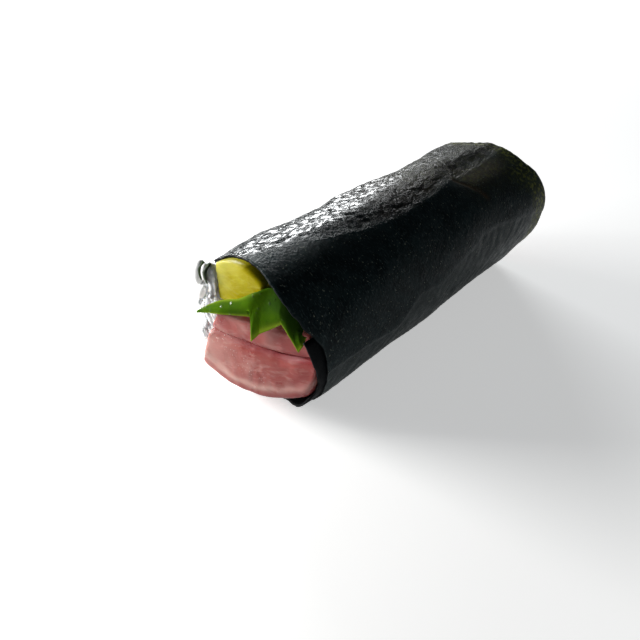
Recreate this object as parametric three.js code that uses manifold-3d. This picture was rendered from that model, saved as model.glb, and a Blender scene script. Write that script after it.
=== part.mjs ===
// Temaki hand roll: a spiral sheet of nori round sushi rice, pickled radish, two slabs of raw fish and a
// shiso leaf. Millimetres, +Z up. The roll's axis runs along Y: the fillings stand out at the -Y end,
// and +X is on the right of someone who looks at that end.
import * as THREE from 'three';
import { mergeVertices } from 'three/addons/utils/BufferGeometryUtils.js';
import Module from 'manifold-3d';

const wasm = await Module();
wasm.setup();

// Driving dimensions.
const ROLL_RADIUS = 20.4; // to the outer face of the nori
const REST_HEIGHT = 19.4; // from the axis down to the flat strip that the roll lies on
const NORI_THICKNESS = 0.45;
const LAYER_GAP = 0.35; // air between the two turns of the sheet
const INNER_EDGE_ANGLE = 26; // degrees from +X towards +Z, where the sheet begins
const WINDING = 504; // degrees of sheet from its inner edge to its outer edge
const CLEARANCE = 0.35; // between neighbouring pieces
const FAR_FACE = 89; // y of the fillings' cut ends at the far side
const LEAF_THICKNESS = 0.4;
const GRAIN_LENGTH = 5.6;
const GRAIN_WIDTH = 2.5;
const SLIVER = 0.03; // shorter edges left by cutting are closed up

// Sheet rims as [winding angle in degrees, y]: the near one and the far one.
const NEAR_RIM = [[0, -7.6], [12, -7], [26, -5.9], [36, -5], [48, -5.4], [58, -7.4], [72, -6.8], [95, -5.2],
  [150, -4.4], [225, -4.2], [246, -5.4], [262, -8], [288, -6.6], [304, -6.9], [328, -8], [340, -7.8],
  [350, -6.9], [360, -5.3], [371, -3.8], [400, -3], [504, -3.2]];
const FAR_RIM = [[0, 94.8], [60, 93.8], [110, 92], [200, 90.8], [250, 91.6], [286, 92], [324, 93],
  [345, 94.9], [362, 95.4], [386, 94.8], [410, 93.8], [504, 92]];

// Radius of the wrapped roll along four lines down its length, as [y, radius]: over the lifted back
// shoulder, the sunken crown, the front and the skirt above the floor.
const PROFILES = [
  { angle: 124, width: 24, line: [[-8, 19.9], [0, 20.6], [6, 21], [14, 20.6], [25, 20.8], [33, 21.9],
    [44, 22], [58, 21.4], [70, 22.1], [82, 23.3], [88, 23.3], [95, 22.4]] },
  { angle: 78, width: 22, line: [[-8, 20.4], [56, 20.4], [67, 18.9], [78, 18.7], [94, 19.8]] },
  { angle: 20, width: 26, line: [[-8, 20.3], [60, 20.4], [80, 20.8], [96, 21.3]] },
  { angle: -32, width: 22, line: [[-8, 20.8], [-2, 21.1], [22, 20.9], [36, 21.2], [48, 20.7], [80, 20.7],
    [92, 19.8]] },
];

const NORI_COLUMNS = 68;
const NORI_ROWS = [0, 0.04, 0.11, 0.22, 0.34, 0.46, 0.56, 0.625, 0.68, 0.73, 0.78, 0.85, 0.93, 1];

// Cross-sections of the fillings as [x, z], anticlockwise as seen from the -Y end.
const RADISH_SECTION = [[-9.8, 6], [-2, 6.6], [5.2, 8.4], [6.3, 12.5], [5.6, 16.8], [0.3, 19.2], [-5, 18.8],
  [-9.4, 16.3], [-10.1, 11]];
const UPPER_FISH_SECTION = [[-8.8, -1.5], [0, -1], [9, 0], [18.6, 2.8], [18, 5.6], [16.6, 8.4], [9, 6.8],
  [0, 5.4], [-7.6, 4.7], [-9.3, 1.8]];
const LOWER_FISH_SECTION = [[-13.6, -12.4], [-9, -15.3], [-1.4, -15.9], [5.7, -14.9], [12, -12.5],
  [17.6, -8.6], [19.6, -2], [19, 2], [9, -0.7], [0, -1.7], [-8.6, -2.3], [-11.4, -5]];
const FILLING_SIDES = 20;

// Shiso leaf in front of the fillings: its smooth upper edge and its toothed margin, as [x, y, z] from
// the tip, with the place along the upper edge (0 to 1) that each point of the margin hangs from.
const LEAF_TOP = [[-14.9, -12.5, 1.7], [-10.1, -11.5, 5.6], [-6, -10.8, 8.6], [0.2, -9.9, 11.9],
  [5.4, -9, 15.9]];
const LEAF_MARGIN = [[-14.8, -12.5, 1.2, 0], [-9.8, -12.2, 3.9, 0.12], [-4.5, -12, 6.2, 0.24],
  [4.5, -9.5, 9.5, 0.4], [3.7, -10.2, 4.8, 0.46], [4, -10.7, 2.7, 0.48], [6, -9.7, 5.5, 0.52],
  [9.2, -9, 8.3, 0.6], [12.2, -8.6, 11.1, 0.7], [13.9, -8.4, 8.8, 0.79], [15.9, -7.6, 5.1, 0.87],
  [16.9, -7.2, 7.2, 0.93], [16.9, -6, 9, 1]];
const LEAF_WALL = [[64, -7.2], [57, -7.2], [49, -7.1], [40, -6.3], [33, -5.6]]; // where it enters: [angle, y]
const LEAF_ROWS = 5;
const LEAF_STRIP_Y = [89, 84, 78, 73, 68, 62, 56, 46, 30, 12, 0, -5.5];

const degrees = THREE.MathUtils.degToRad;
const smooth = THREE.MathUtils.smoothstep;
const lerp = THREE.MathUtils.lerp;

/** Angle in degrees brought into -180 to 180. */
function wrap(angle) {
  return THREE.MathUtils.euclideanModulo(angle + 180, 360) - 180;
}

/** Bell of height 1 over an angle in degrees. */
function bell(angle, centre, width) {
  return Math.exp(-((wrap(angle - centre) / width) ** 2));
}

/** Value at x of the smooth line through [x, value] points. */
function along(points, x) {
  let i = 0;
  while (i < points.length - 2 && x > points[i + 1][0]) i += 1;
  const [x0, a] = points[i];
  const [x1, b] = points[i + 1];
  return lerp(a, b, smooth(x, x0, x1));
}

/** Radius of a soft facet: the lesser of the circle and a plane, with the edge between them eased. */
function facet(radius, angle, facing, distance) {
  const turn = Math.cos(degrees(wrap(angle - facing)));
  if (turn < 0.5) return radius;
  const ease = 0.5;
  const plane = distance / turn;
  const blend = THREE.MathUtils.clamp(0.5 + (0.5 * (plane - radius)) / ease, 0, 1);
  return lerp(plane, radius, blend) - ease * blend * (1 - blend);
}

/** Outer radius of the wrapped sheet, in the direction angle (degrees) at y. */
function noriRadius(angle, y) {
  const ripple = 0.14 * Math.sin(degrees(3 * angle + 5 * y)) + 0.1 * Math.sin(degrees(7 * angle - 9 * y));
  const swell = PROFILES.reduce((sum, profile) => sum
    + bell(angle, profile.angle, profile.width) * (along(profile.line, y) - ROLL_RADIUS), 0);
  const radius = facet(ROLL_RADIUS + ripple + swell, angle, 102, ROLL_RADIUS - 0.3);
  const down = Math.cos(degrees(wrap(angle + 90)));
  return down > 0.5 ? Math.min(radius, REST_HEIGHT / down) : radius;
}

/** How far the sheet's outer face lies inside the wrapped surface, at a winding angle. */
function layerDepth(winding) {
  return (NORI_THICKNESS + LAYER_GAP) * (1 - smooth(winding, 190, 330));
}

/** Radius that fillings may reach, with a clearance to the sheet: it eases in before the inner edge. */
function roomRadius(angle, y, clearance) {
  const winding = THREE.MathUtils.euclideanModulo(INNER_EDGE_ANGLE - angle, 360);
  const edgeRoom = (NORI_THICKNESS + LAYER_GAP) * smooth(winding, 336, 350);
  return noriRadius(angle, y) - layerDepth(winding) - NORI_THICKNESS - edgeRoom - clearance;
}

/** BufferGeometry of a triangle list over points. */
function meshOf(points, triangles) {
  const geometry = new THREE.BufferGeometry();
  geometry.setAttribute('position', new THREE.Float32BufferAttribute(points.flat(), 3));
  geometry.setIndex(triangles.flat());
  return geometry;
}

/** The two triangles of a four-cornered cell. */
function cell(a, b, c, d) {
  return [[a, b, c], [a, c, d]];
}

/** Manifold solid of a closed geometry. */
function solidOf(geometry) {
  const bare = geometry.clone();
  bare.deleteAttribute('normal');
  bare.deleteAttribute('uv');
  const merged = mergeVertices(bare, 1e-4);
  return new wasm.Manifold(new wasm.Mesh({
    numProp: 3,
    vertProperties: merged.attributes.position.array,
    triVerts: new Uint32Array(merged.index.array),
  }));
}

/** Geometry of a manifold solid, without the slivers that cutting leaves. */
function geometryOf(solid) {
  const { vertProperties, triVerts } = solid.asOriginal().simplify(SLIVER).getMesh();
  const geometry = new THREE.BufferGeometry();
  geometry.setAttribute('position', new THREE.BufferAttribute(vertProperties, 3));
  geometry.setIndex(new THREE.BufferAttribute(triVerts, 1));
  return geometry;
}

/** The largest closed shell of a solid's surface: scraps go, and hollows that were sealed fill up. */
function largestShell(geometry) {
  const index = geometry.index.array;
  const position = geometry.attributes.position;
  const parent = Array.from({ length: position.count }, (_, i) => i);
  const root = (i) => {
    let top = i;
    while (parent[top] !== top) top = parent[top];
    parent[i] = top;
    return top;
  };
  for (let i = 0; i < index.length; i += 3) {
    parent[root(index[i])] = root(index[i + 1]);
    parent[root(index[i + 1])] = root(index[i + 2]);
  }
  const shells = new Map();
  const [a, b, c] = [0, 0, 0].map(() => new THREE.Vector3());
  for (let i = 0; i < index.length; i += 3) {
    const key = root(index[i]);
    if (!shells.has(key)) shells.set(key, { volume: 0, triangles: [] });
    const shell = shells.get(key);
    [a, b, c].forEach((corner, k) => corner.fromBufferAttribute(position, index[i + k]));
    shell.volume += a.dot(b.cross(c)) / 6;
    shell.triangles.push(index[i], index[i + 1], index[i + 2]);
  }
  const kept = [...shells.values()].reduce((best, next) => (next.volume > best.volume ? next : best));
  geometry.setIndex(kept.triangles);
  return geometry;
}

/** The sheet of nori, wound from its inner edge to its outer edge. */
function makeNori() {
  const points = [];
  for (const depth of [0, NORI_THICKNESS]) {
    for (let column = 0; column <= NORI_COLUMNS; column += 1) {
      const winding = (WINDING * column) / NORI_COLUMNS;
      const angle = INNER_EDGE_ANGLE - winding;
      for (const row of NORI_ROWS) {
        const y = lerp(along(NEAR_RIM, winding), along(FAR_RIM, winding), row);
        const radius = noriRadius(angle, y) - layerDepth(winding) - depth;
        points.push([radius * Math.cos(degrees(angle)), y, radius * Math.sin(degrees(angle))]);
      }
    }
  }
  const rows = NORI_ROWS.length;
  const outer = (column, row) => column * rows + row;
  const inner = (column, row) => outer(column, row) + (NORI_COLUMNS + 1) * rows;
  const triangles = [];
  for (let c = 0; c < NORI_COLUMNS; c += 1) {
    for (let r = 0; r < rows - 1; r += 1) {
      triangles.push(...cell(outer(c, r), outer(c + 1, r), outer(c + 1, r + 1), outer(c, r + 1)));
      triangles.push(...cell(inner(c, r), inner(c, r + 1), inner(c + 1, r + 1), inner(c + 1, r)));
    }
    triangles.push(...cell(outer(c, 0), inner(c, 0), inner(c + 1, 0), outer(c + 1, 0)));
    triangles.push(...cell(outer(c, rows - 1), outer(c + 1, rows - 1), inner(c + 1, rows - 1),
      inner(c, rows - 1)));
  }
  for (let r = 0; r < rows - 1; r += 1) {
    triangles.push(...cell(outer(0, r), outer(0, r + 1), inner(0, r + 1), inner(0, r)));
    triangles.push(...cell(outer(NORI_COLUMNS, r), inner(NORI_COLUMNS, r),
      inner(NORI_COLUMNS, r + 1), outer(NORI_COLUMNS, r + 1)));
  }
  return meshOf(points, triangles);
}

/** y of the fish's near face, which leans out towards the lower left. */
function fishFace(x, z) {
  return -10.4 + 0.2 * x + 0.12 * z + 0.002 * x * x;
}

/** y of the radish's near face. */
function radishFace(x) {
  return -8.4 + 0.06 * x;
}

/** y of the rice's near face: it stands out on the left, most of all low down, and lies back elsewhere. */
function riceFace(x, z) {
  const left = smooth(-x, 7, 10.5);
  const lean = 0.2 * THREE.MathUtils.clamp(-z, 0, 10);
  const droop = 2.4 * smooth(z, 13, 18) + 3 * smooth(-z, 12, 16);
  return lerp(-3.2, droop - lean - 9.4, left);
}

/** y of the fillings' far face. */
function farFace(x, z) {
  return FAR_FACE + 0.12 * Math.max(x, 0) - 0.02 * z;
}

/**
 * Closed solid with one cross-section, from a near face to a far face, its ends rounded. The section
 * gives way to the nori round it. A grown copy is larger all round, for cutting room in its neighbour.
 */
function makeFilling({ section, sides, near, far, round, spans, margin = CLEARANCE }, grown = 0) {
  const curve = new THREE.CatmullRomCurve3(section.map(([x, z]) => new THREE.Vector3(x, 0, z)), true,
    'catmullrom', 0.4);
  const ring = curve.getPoints(sides).slice(0, sides);
  const centre = ring.reduce((sum, p) => sum.add(p), new THREE.Vector3()).divideScalar(sides);
  const outward = ring.map((p, i) => {
    const run = ring[(i + 1) % sides].clone().sub(ring[(i + sides - 1) % sides]);
    return new THREE.Vector3(run.z, 0, -run.x).normalize();
  });
  const ends = [0, 0.25, 1].map((s) => s * round);
  const inset = (s) => round * (1 - Math.sqrt(1 - (1 - s / round) ** 2));
  const rows = ends.map((s) => ({ share: 0, from: s, inset: inset(s) }));
  for (let k = 1; k < spans; k += 1) rows.push({ share: k / spans, from: 0, inset: 0 });
  rows.push(...ends.slice().reverse().map((s) => ({ share: 1, from: -s, inset: inset(s) })));
  const place = (x, z, row) => {
    const y = lerp(near(x, z) - grown, far(x, z) + grown, row.share) + row.from;
    const angle = THREE.MathUtils.radToDeg(Math.atan2(z, x));
    const limit = roomRadius(angle, y, margin - grown);
    const shrink = Math.min(1, limit / Math.hypot(x, z));
    return [x * shrink, y, z * shrink];
  };
  const points = [];
  for (const row of rows) {
    ring.forEach((p, i) => {
      const move = grown - row.inset;
      points.push(place(p.x + outward[i].x * move, p.z + outward[i].z * move, row));
    });
  }
  const triangles = [];
  for (let r = 0; r < rows.length - 1; r += 1) {
    for (let i = 0; i < sides; i += 1) {
      const j = (i + 1) % sides;
      triangles.push(...cell(r * sides + i, (r + 1) * sides + i, (r + 1) * sides + j, r * sides + j));
    }
  }
  const addCap = (start, row, facesNear) => {
    let previous = start;
    for (const share of [0.68, 0.34]) {
      const next = points.length;
      for (let i = 0; i < sides; i += 1) {
        const [x, , z] = points[start + i];
        points.push(place(lerp(centre.x, x, share), lerp(centre.z, z, share), row));
      }
      for (let i = 0; i < sides; i += 1) {
        const j = (i + 1) % sides;
        const corners = facesNear ? [previous + i, previous + j, next + j, next + i]
          : [previous + i, next + i, next + j, previous + j];
        triangles.push(...cell(...corners));
      }
      previous = next;
    }
    const middle = points.length;
    points.push(place(centre.x, centre.z, row));
    for (let i = 0; i < sides; i += 1) {
      const j = (i + 1) % sides;
      triangles.push(facesNear ? [previous + i, previous + j, middle] : [previous + i, middle, previous + j]);
    }
  };
  addCap(0, rows[0], true);
  addCap((rows.length - 1) * sides, rows[rows.length - 1], false);
  return meshOf(points, triangles);
}

/**
 * Closed leaf of a thickness, from a sheet's points and triangles: both faces are split alike. The
 * sheet's margin is moved out by a spread.
 */
function thicken(points, triangles, thickness, spread) {
  const sheet = meshOf(points, triangles);
  sheet.computeVertexNormals();
  const position = points.map((p) => new THREE.Vector3(...p));
  const normal = position.map((_, i) => new THREE.Vector3().fromBufferAttribute(sheet.attributes.normal, i));
  const edges = new Map();
  for (const [a, b, c] of triangles) {
    for (const [p, q] of [[a, b], [b, c], [c, a]]) {
      if (edges.has(`${q} ${p}`)) edges.delete(`${q} ${p}`);
      else edges.set(`${p} ${q}`, [p, q]);
    }
  }
  const outward = position.map(() => new THREE.Vector3());
  for (const [p, q] of edges.values()) {
    const away = position[q].clone().sub(position[p]).normalize().cross(normal[p]);
    outward[p].add(away);
    outward[q].add(away);
  }
  const faces = [0.5, -0.5].flatMap((side) => position.map((p, i) => p.clone()
    .addScaledVector(outward[i].clone().normalize(), spread)
    .addScaledVector(normal[i], side * thickness).toArray()));
  const count = points.length;
  const closed = triangles.flatMap(([a, b, c]) => [[a, b, c], [a + count, c + count, b + count]]);
  for (const [p, q] of edges.values()) closed.push(...cell(p, p + count, q + count, q));
  return meshOf(faces, closed);
}

/** The shiso leaf: toothed front over the fillings' ends, then a strip inside the roll to its far end. */
function makeLeaf(grown = 0) {
  const wall = (angle, y) => {
    const radius = roomRadius(angle, y, CLEARANCE + 0.15 + LEAF_THICKNESS / 2);
    return new THREE.Vector3(radius * Math.cos(degrees(angle)), y, radius * Math.sin(degrees(angle)));
  };
  const entry = LEAF_WALL.map(([angle, y]) => wall(angle, y));
  const upper = new THREE.CatmullRomCurve3([...LEAF_TOP.map((p) => new THREE.Vector3(...p)), ...entry]);
  const wallShare = LEAF_TOP.length / (LEAF_TOP.length + entry.length - 1);
  const hangers = LEAF_MARGIN.slice(1).flatMap((end, i) => [0.5, 1].map(
    (t) => LEAF_MARGIN[i].map((value, k) => lerp(value, end[k], t))));
  const points = [];
  const columns = [LEAF_MARGIN[0], ...hangers].map(([x, y, z, share]) => {
    const top = upper.getPoint(share);
    const line = [];
    if (share > wallShare) {
      const angle = THREE.MathUtils.radToDeg(Math.atan2(top.z, top.x));
      LEAF_STRIP_Y.forEach((stripY) => {
        line.push(points.length);
        points.push(wall(angle, stripY).toArray());
      });
    }
    for (let row = 0; row <= LEAF_ROWS; row += 1) {
      const v = row / LEAF_ROWS;
      const bulge = (0.7 * Math.sin(Math.PI * v) + 0.2 * v * Math.sin(14 * share)) * Math.min(1, 4 * share);
      line.push(points.length);
      points.push([lerp(top.x, x, v), lerp(top.y, y, v) - bulge, lerp(top.z, z, v)]);
    }
    return line;
  });
  const triangles = [];
  columns.slice(1).forEach((line, c) => {
    const before = columns[c].slice().reverse();
    const after = line.slice().reverse();
    const cells = Math.min(before.length, after.length) - 1;
    for (let r = 0; r < cells; r += 1) {
      triangles.push(...cell(before[r], before[r + 1], after[r + 1], after[r]));
    }
  });
  return thicken(points, triangles, LEAF_THICKNESS + 2 * grown, grown);
}

/** Seeded random numbers from 0 to 1. */
function seeded(seed) {
  let state = seed;
  return () => {
    state = (Math.imul(state, 1664525) + 1013904223) >>> 0;
    return state / 2 ** 32;
  };
}

/** One plump grain of cooked rice, along Y, five-sided. */
function makeGrain() {
  const profile = [[0, -0.5], [0.4, -0.3], [0.5, 0.02], [0.4, 0.32], [0, 0.5]].map(
    ([across, lengthwise]) => new THREE.Vector2(across * GRAIN_WIDTH, lengthwise * GRAIN_LENGTH));
  return new THREE.LatheGeometry(profile, 5);
}

/** Places for grains on a face: spread over the rice, no two centres nearer than the spacing. */
function grainPlaces({ count, spacing, allowed, face, sink, random }) {
  const places = [];
  for (let tries = 0; tries < 4000 && places.length < count; tries += 1) {
    const x = (2 * random() - 1) * ROLL_RADIUS;
    const z = (2 * random() - 1) * ROLL_RADIUS;
    const free = places.every((p) => Math.hypot(p.x - x, p.z - z) > spacing);
    if (free && allowed(x, z)) places.push(new THREE.Vector3(x, face(x, z) + sink, z));
  }
  return places;
}

/** Whether [x, z] lies in a closed outline grown by a margin. */
function within(outline, x, z, margin) {
  let inside = false;
  let nearest = Infinity;
  outline.forEach(([ax, az], i) => {
    const [bx, bz] = outline[(i + 1) % outline.length];
    if ((az > z) !== (bz > z) && x < ((bx - ax) * (z - az)) / (bz - az) + ax) inside = !inside;
    const run = THREE.MathUtils.clamp(((x - ax) * (bx - ax) + (z - az) * (bz - az))
      / ((bx - ax) ** 2 + (bz - az) ** 2), 0, 1);
    nearest = Math.min(nearest, Math.hypot(ax + run * (bx - ax) - x, az + run * (bz - az) - z));
  });
  return inside || nearest < margin;
}

/** The rice: a core that fills the roll round the other fillings, with grains at both cut faces. */
function makeRice(fillings, leafRoom) {
  const circle = Array.from({ length: 12 }, (_, i) => {
    const angle = (i * Math.PI) / 6;
    return [ROLL_RADIUS * 1.2 * Math.cos(angle), ROLL_RADIUS * 1.2 * Math.sin(angle)];
  });
  const body = { section: circle, sides: 36, near: riceFace, far: farFace, round: 0.8, spans: 7,
    margin: CLEARANCE + 0.1 };
  const room = { ...body, near: () => -15, far: () => FAR_FACE + 4, margin: CLEARANCE + 0.05 };
  const random = seeded(7);
  const sections = [RADISH_SECTION, UPPER_FISH_SECTION, LOWER_FISH_SECTION];
  const isRice = (x, z) => Math.hypot(x, z) < ROLL_RADIUS - 2.2
    && sections.every((section) => !within(section, x, z, 0.6));
  const nearPlaces = grainPlaces({ count: 26, spacing: 2.9, face: riceFace, sink: 0.2, random,
    allowed: (x, z) => x < -10 && z > -15 && isRice(x, z) });
  const farPlaces = grainPlaces({ count: 40, spacing: 3.1, face: farFace, sink: -0.2, random,
    allowed: isRice });
  const grains = [...nearPlaces, ...farPlaces].map((place) => {
    const turn = new THREE.Euler(0.7 * (random() - 0.5), Math.PI * random(), Math.PI / 2
      + 0.7 * (random() - 0.5), 'YXZ');
    const scale = new THREE.Vector3(1, 1, 1).multiplyScalar(0.88 + 0.24 * random());
    return solidOf(makeGrain().applyMatrix4(new THREE.Matrix4().compose(place,
      new THREE.Quaternion().setFromEuler(turn), scale)));
  });
  let rice = grains.reduce((whole, grain) => whole.add(grain)).intersect(solidOf(makeFilling(room)));
  rice = rice.add(solidOf(makeFilling(body)));
  for (const filling of fillings) rice = rice.subtract(solidOf(makeFilling(filling, CLEARANCE)));
  rice = rice.subtract(solidOf(leafRoom));
  return largestShell(geometryOf(rice));
}

/** Named mesh with its finish. */
function part(name, geometry, color, roughness) {
  const mesh = new THREE.Mesh(geometry, new THREE.MeshStandardMaterial({ color, roughness, metalness: 0 }));
  mesh.name = name;
  return mesh;
}

const radish = { section: RADISH_SECTION, sides: FILLING_SIDES, near: radishFace, far: farFace, round: 1,
  spans: 12, margin: CLEARANCE + 0.1 };
const upperFish = { section: UPPER_FISH_SECTION, sides: FILLING_SIDES, near: fishFace, far: farFace,
  round: 1, spans: 5 };
const lowerFish = { section: LOWER_FISH_SECTION, sides: FILLING_SIDES, near: fishFace, far: farFace,
  round: 1.4, spans: 5 };

const roll = new THREE.Group();
roll.add(
  part('nori', makeNori(), '#10181a', 0.45),
  part('rice', makeRice([radish, upperFish, lowerFish], makeLeaf(CLEARANCE)), '#e9ebe6', 0.4),
  part('pickled_radish', makeFilling(radish), '#d9c516', 0.3),
  part('fish_upper', makeFilling(upperFish), '#c9827c', 0.35),
  part('fish_lower', makeFilling(lowerFish), '#c97a72', 0.35),
  part('shiso_leaf', makeLeaf(), '#3d7a12', 0.4),
);

// The part's origin is the middle of its footprint, on the surface that it lies on.
roll.updateMatrixWorld(true);
const bounds = new THREE.Box3().setFromObject(roll);
const middle = bounds.getCenter(new THREE.Vector3());
roll.position.set(-middle.x, -middle.y, -bounds.min.z);

const group = new THREE.Group();
group.add(roll);
export default group;
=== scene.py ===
"""Temaki hand roll: a spiral sheet of nori round sushi rice, pickled radish, two slabs of raw fish
and a shiso leaf. The shape functions work in millimetres in the roll's own frame (the axis along Y,
the fillings' ends at -Y), and every finished mesh is put into the part's frame in metres."""
import logging
import math
from dataclasses import dataclass, field
from enum import Enum
from typing import Callable, Sequence

import bmesh
import bpy
import numpy as np
from mathutils import Euler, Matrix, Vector, noise


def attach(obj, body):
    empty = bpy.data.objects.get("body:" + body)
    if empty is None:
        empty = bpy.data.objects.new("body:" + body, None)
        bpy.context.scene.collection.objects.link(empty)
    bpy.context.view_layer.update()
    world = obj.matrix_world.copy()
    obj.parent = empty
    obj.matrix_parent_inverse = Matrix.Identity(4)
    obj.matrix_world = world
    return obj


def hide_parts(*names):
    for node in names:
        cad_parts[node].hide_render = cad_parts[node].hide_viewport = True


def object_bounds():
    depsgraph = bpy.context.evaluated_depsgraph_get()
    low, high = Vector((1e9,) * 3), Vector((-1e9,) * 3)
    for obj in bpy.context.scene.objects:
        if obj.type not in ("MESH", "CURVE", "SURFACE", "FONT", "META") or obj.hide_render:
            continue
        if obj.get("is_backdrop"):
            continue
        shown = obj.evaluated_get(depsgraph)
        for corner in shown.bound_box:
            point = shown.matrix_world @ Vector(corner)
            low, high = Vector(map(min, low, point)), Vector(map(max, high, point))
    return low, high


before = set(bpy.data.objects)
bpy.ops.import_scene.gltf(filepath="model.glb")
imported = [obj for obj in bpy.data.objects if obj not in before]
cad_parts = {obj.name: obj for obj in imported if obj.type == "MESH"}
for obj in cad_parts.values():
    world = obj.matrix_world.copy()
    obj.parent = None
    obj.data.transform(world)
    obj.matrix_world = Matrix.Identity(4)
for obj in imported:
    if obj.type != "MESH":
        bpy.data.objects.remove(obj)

LOG = logging.getLogger("temaki")
Array = np.ndarray
Line = Sequence[Sequence[float]]
Face = Callable[[Array, Array], Array]
Material = bpy.types.Material
Node = bpy.types.Node
Object = bpy.types.Object
Socket = bpy.types.NodeSocket
Tree = bpy.types.NodeTree
MM = 0.001
ROLL_ORIGIN = np.array([-0.517, -40.697, 19.4])  # mm, the roll frame's origin in the part's frame


class Slot(Enum):
    """Material slots of the part."""

    NORI = "nori"
    RICE = "rice"
    RADISH = "radish"
    FISH = "fish"
    LEAF = "leaf"


# ---------------------------------------------------------------------------------- shape functions


def smooth(x: Array, low: float, high: float) -> Array:
    """Smoothstep of x from low to high."""
    t = np.clip((np.asarray(x, float) - low) / (high - low), 0.0, 1.0)
    return t * t * (3.0 - 2.0 * t)


def lerp(a: Array, b: Array, t: Array) -> Array:
    """Value between a and b at share t."""
    return a + (b - a) * t


def wrap(angle: Array) -> Array:
    """Angle in degrees brought into -180 to 180."""
    return np.mod(np.asarray(angle, float) + 180.0, 360.0) - 180.0


def bell(angle: Array, centre: float, width: float) -> Array:
    """Bell of height 1 over an angle in degrees."""
    return np.exp(-((wrap(np.asarray(angle, float) - centre) / width) ** 2))


def hermite(t: float, p1: Array, p2: Array, m1: Array, m2: Array) -> Array:
    """Point at share t of the cubic from p1 to p2 with the slopes m1 and m2."""
    return ((2 * t**3 - 3 * t**2 + 1) * p1 + (t**3 - 2 * t**2 + t) * m1
            + (3 * t**2 - 2 * t**3) * p2 + (t**3 - t**2) * m2)


def along(points: Line, x: Array) -> Array:
    """Height of a smooth line.

    Args:
        points: Its (x, height) corners.
        x: Where to read it.

    Returns:
        Height at every x.
    """
    table = np.asarray(points, float)
    x = np.asarray(x, float)
    i = np.clip(np.searchsorted(table[:, 0], x, side="left") - 1, 0, len(table) - 2)
    low, high = table[i], table[i + 1]
    t = np.clip((x - low[..., 0]) / (high[..., 0] - low[..., 0]), 0.0, 1.0)
    return lerp(low[..., 1], high[..., 1], t * t * (3.0 - 2.0 * t))


def ridge(x: Array, y: Array, path: Line, width: float) -> Array:
    """Bell of height 1 across a broken line.

    Args:
        x: First coordinate of the places.
        y: Second coordinate of the places.
        path: Corners of the line in the same coordinates.
        width: Half width of the bell.

    Returns:
        Height at every place.
    """
    x, y = np.broadcast_arrays(np.asarray(x, float), np.asarray(y, float))
    nearest = np.full(x.shape, 1e9)
    for (ax, ay), (bx, by) in zip(path[:-1], path[1:]):
        run = (bx - ax) ** 2 + (by - ay) ** 2
        t = np.clip(((x - ax) * (bx - ax) + (y - ay) * (by - ay)) / run, 0.0, 1.0)
        nearest = np.minimum(nearest, np.hypot(ax + t * (bx - ax) - x, ay + t * (by - ay) - y))
    return np.exp(-((nearest / width) ** 2))


def noise_at(points: Array, scale: float, seed: float) -> Array:
    """Smooth noise from about -1 to 1 at points (N, 3) in mm, with features of 1 / scale mm."""
    shift = Vector((seed, -seed * 1.7, seed * 0.6))
    return np.array([noise.noise(Vector(p) * scale + shift) for p in np.asarray(points, float)])


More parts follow.
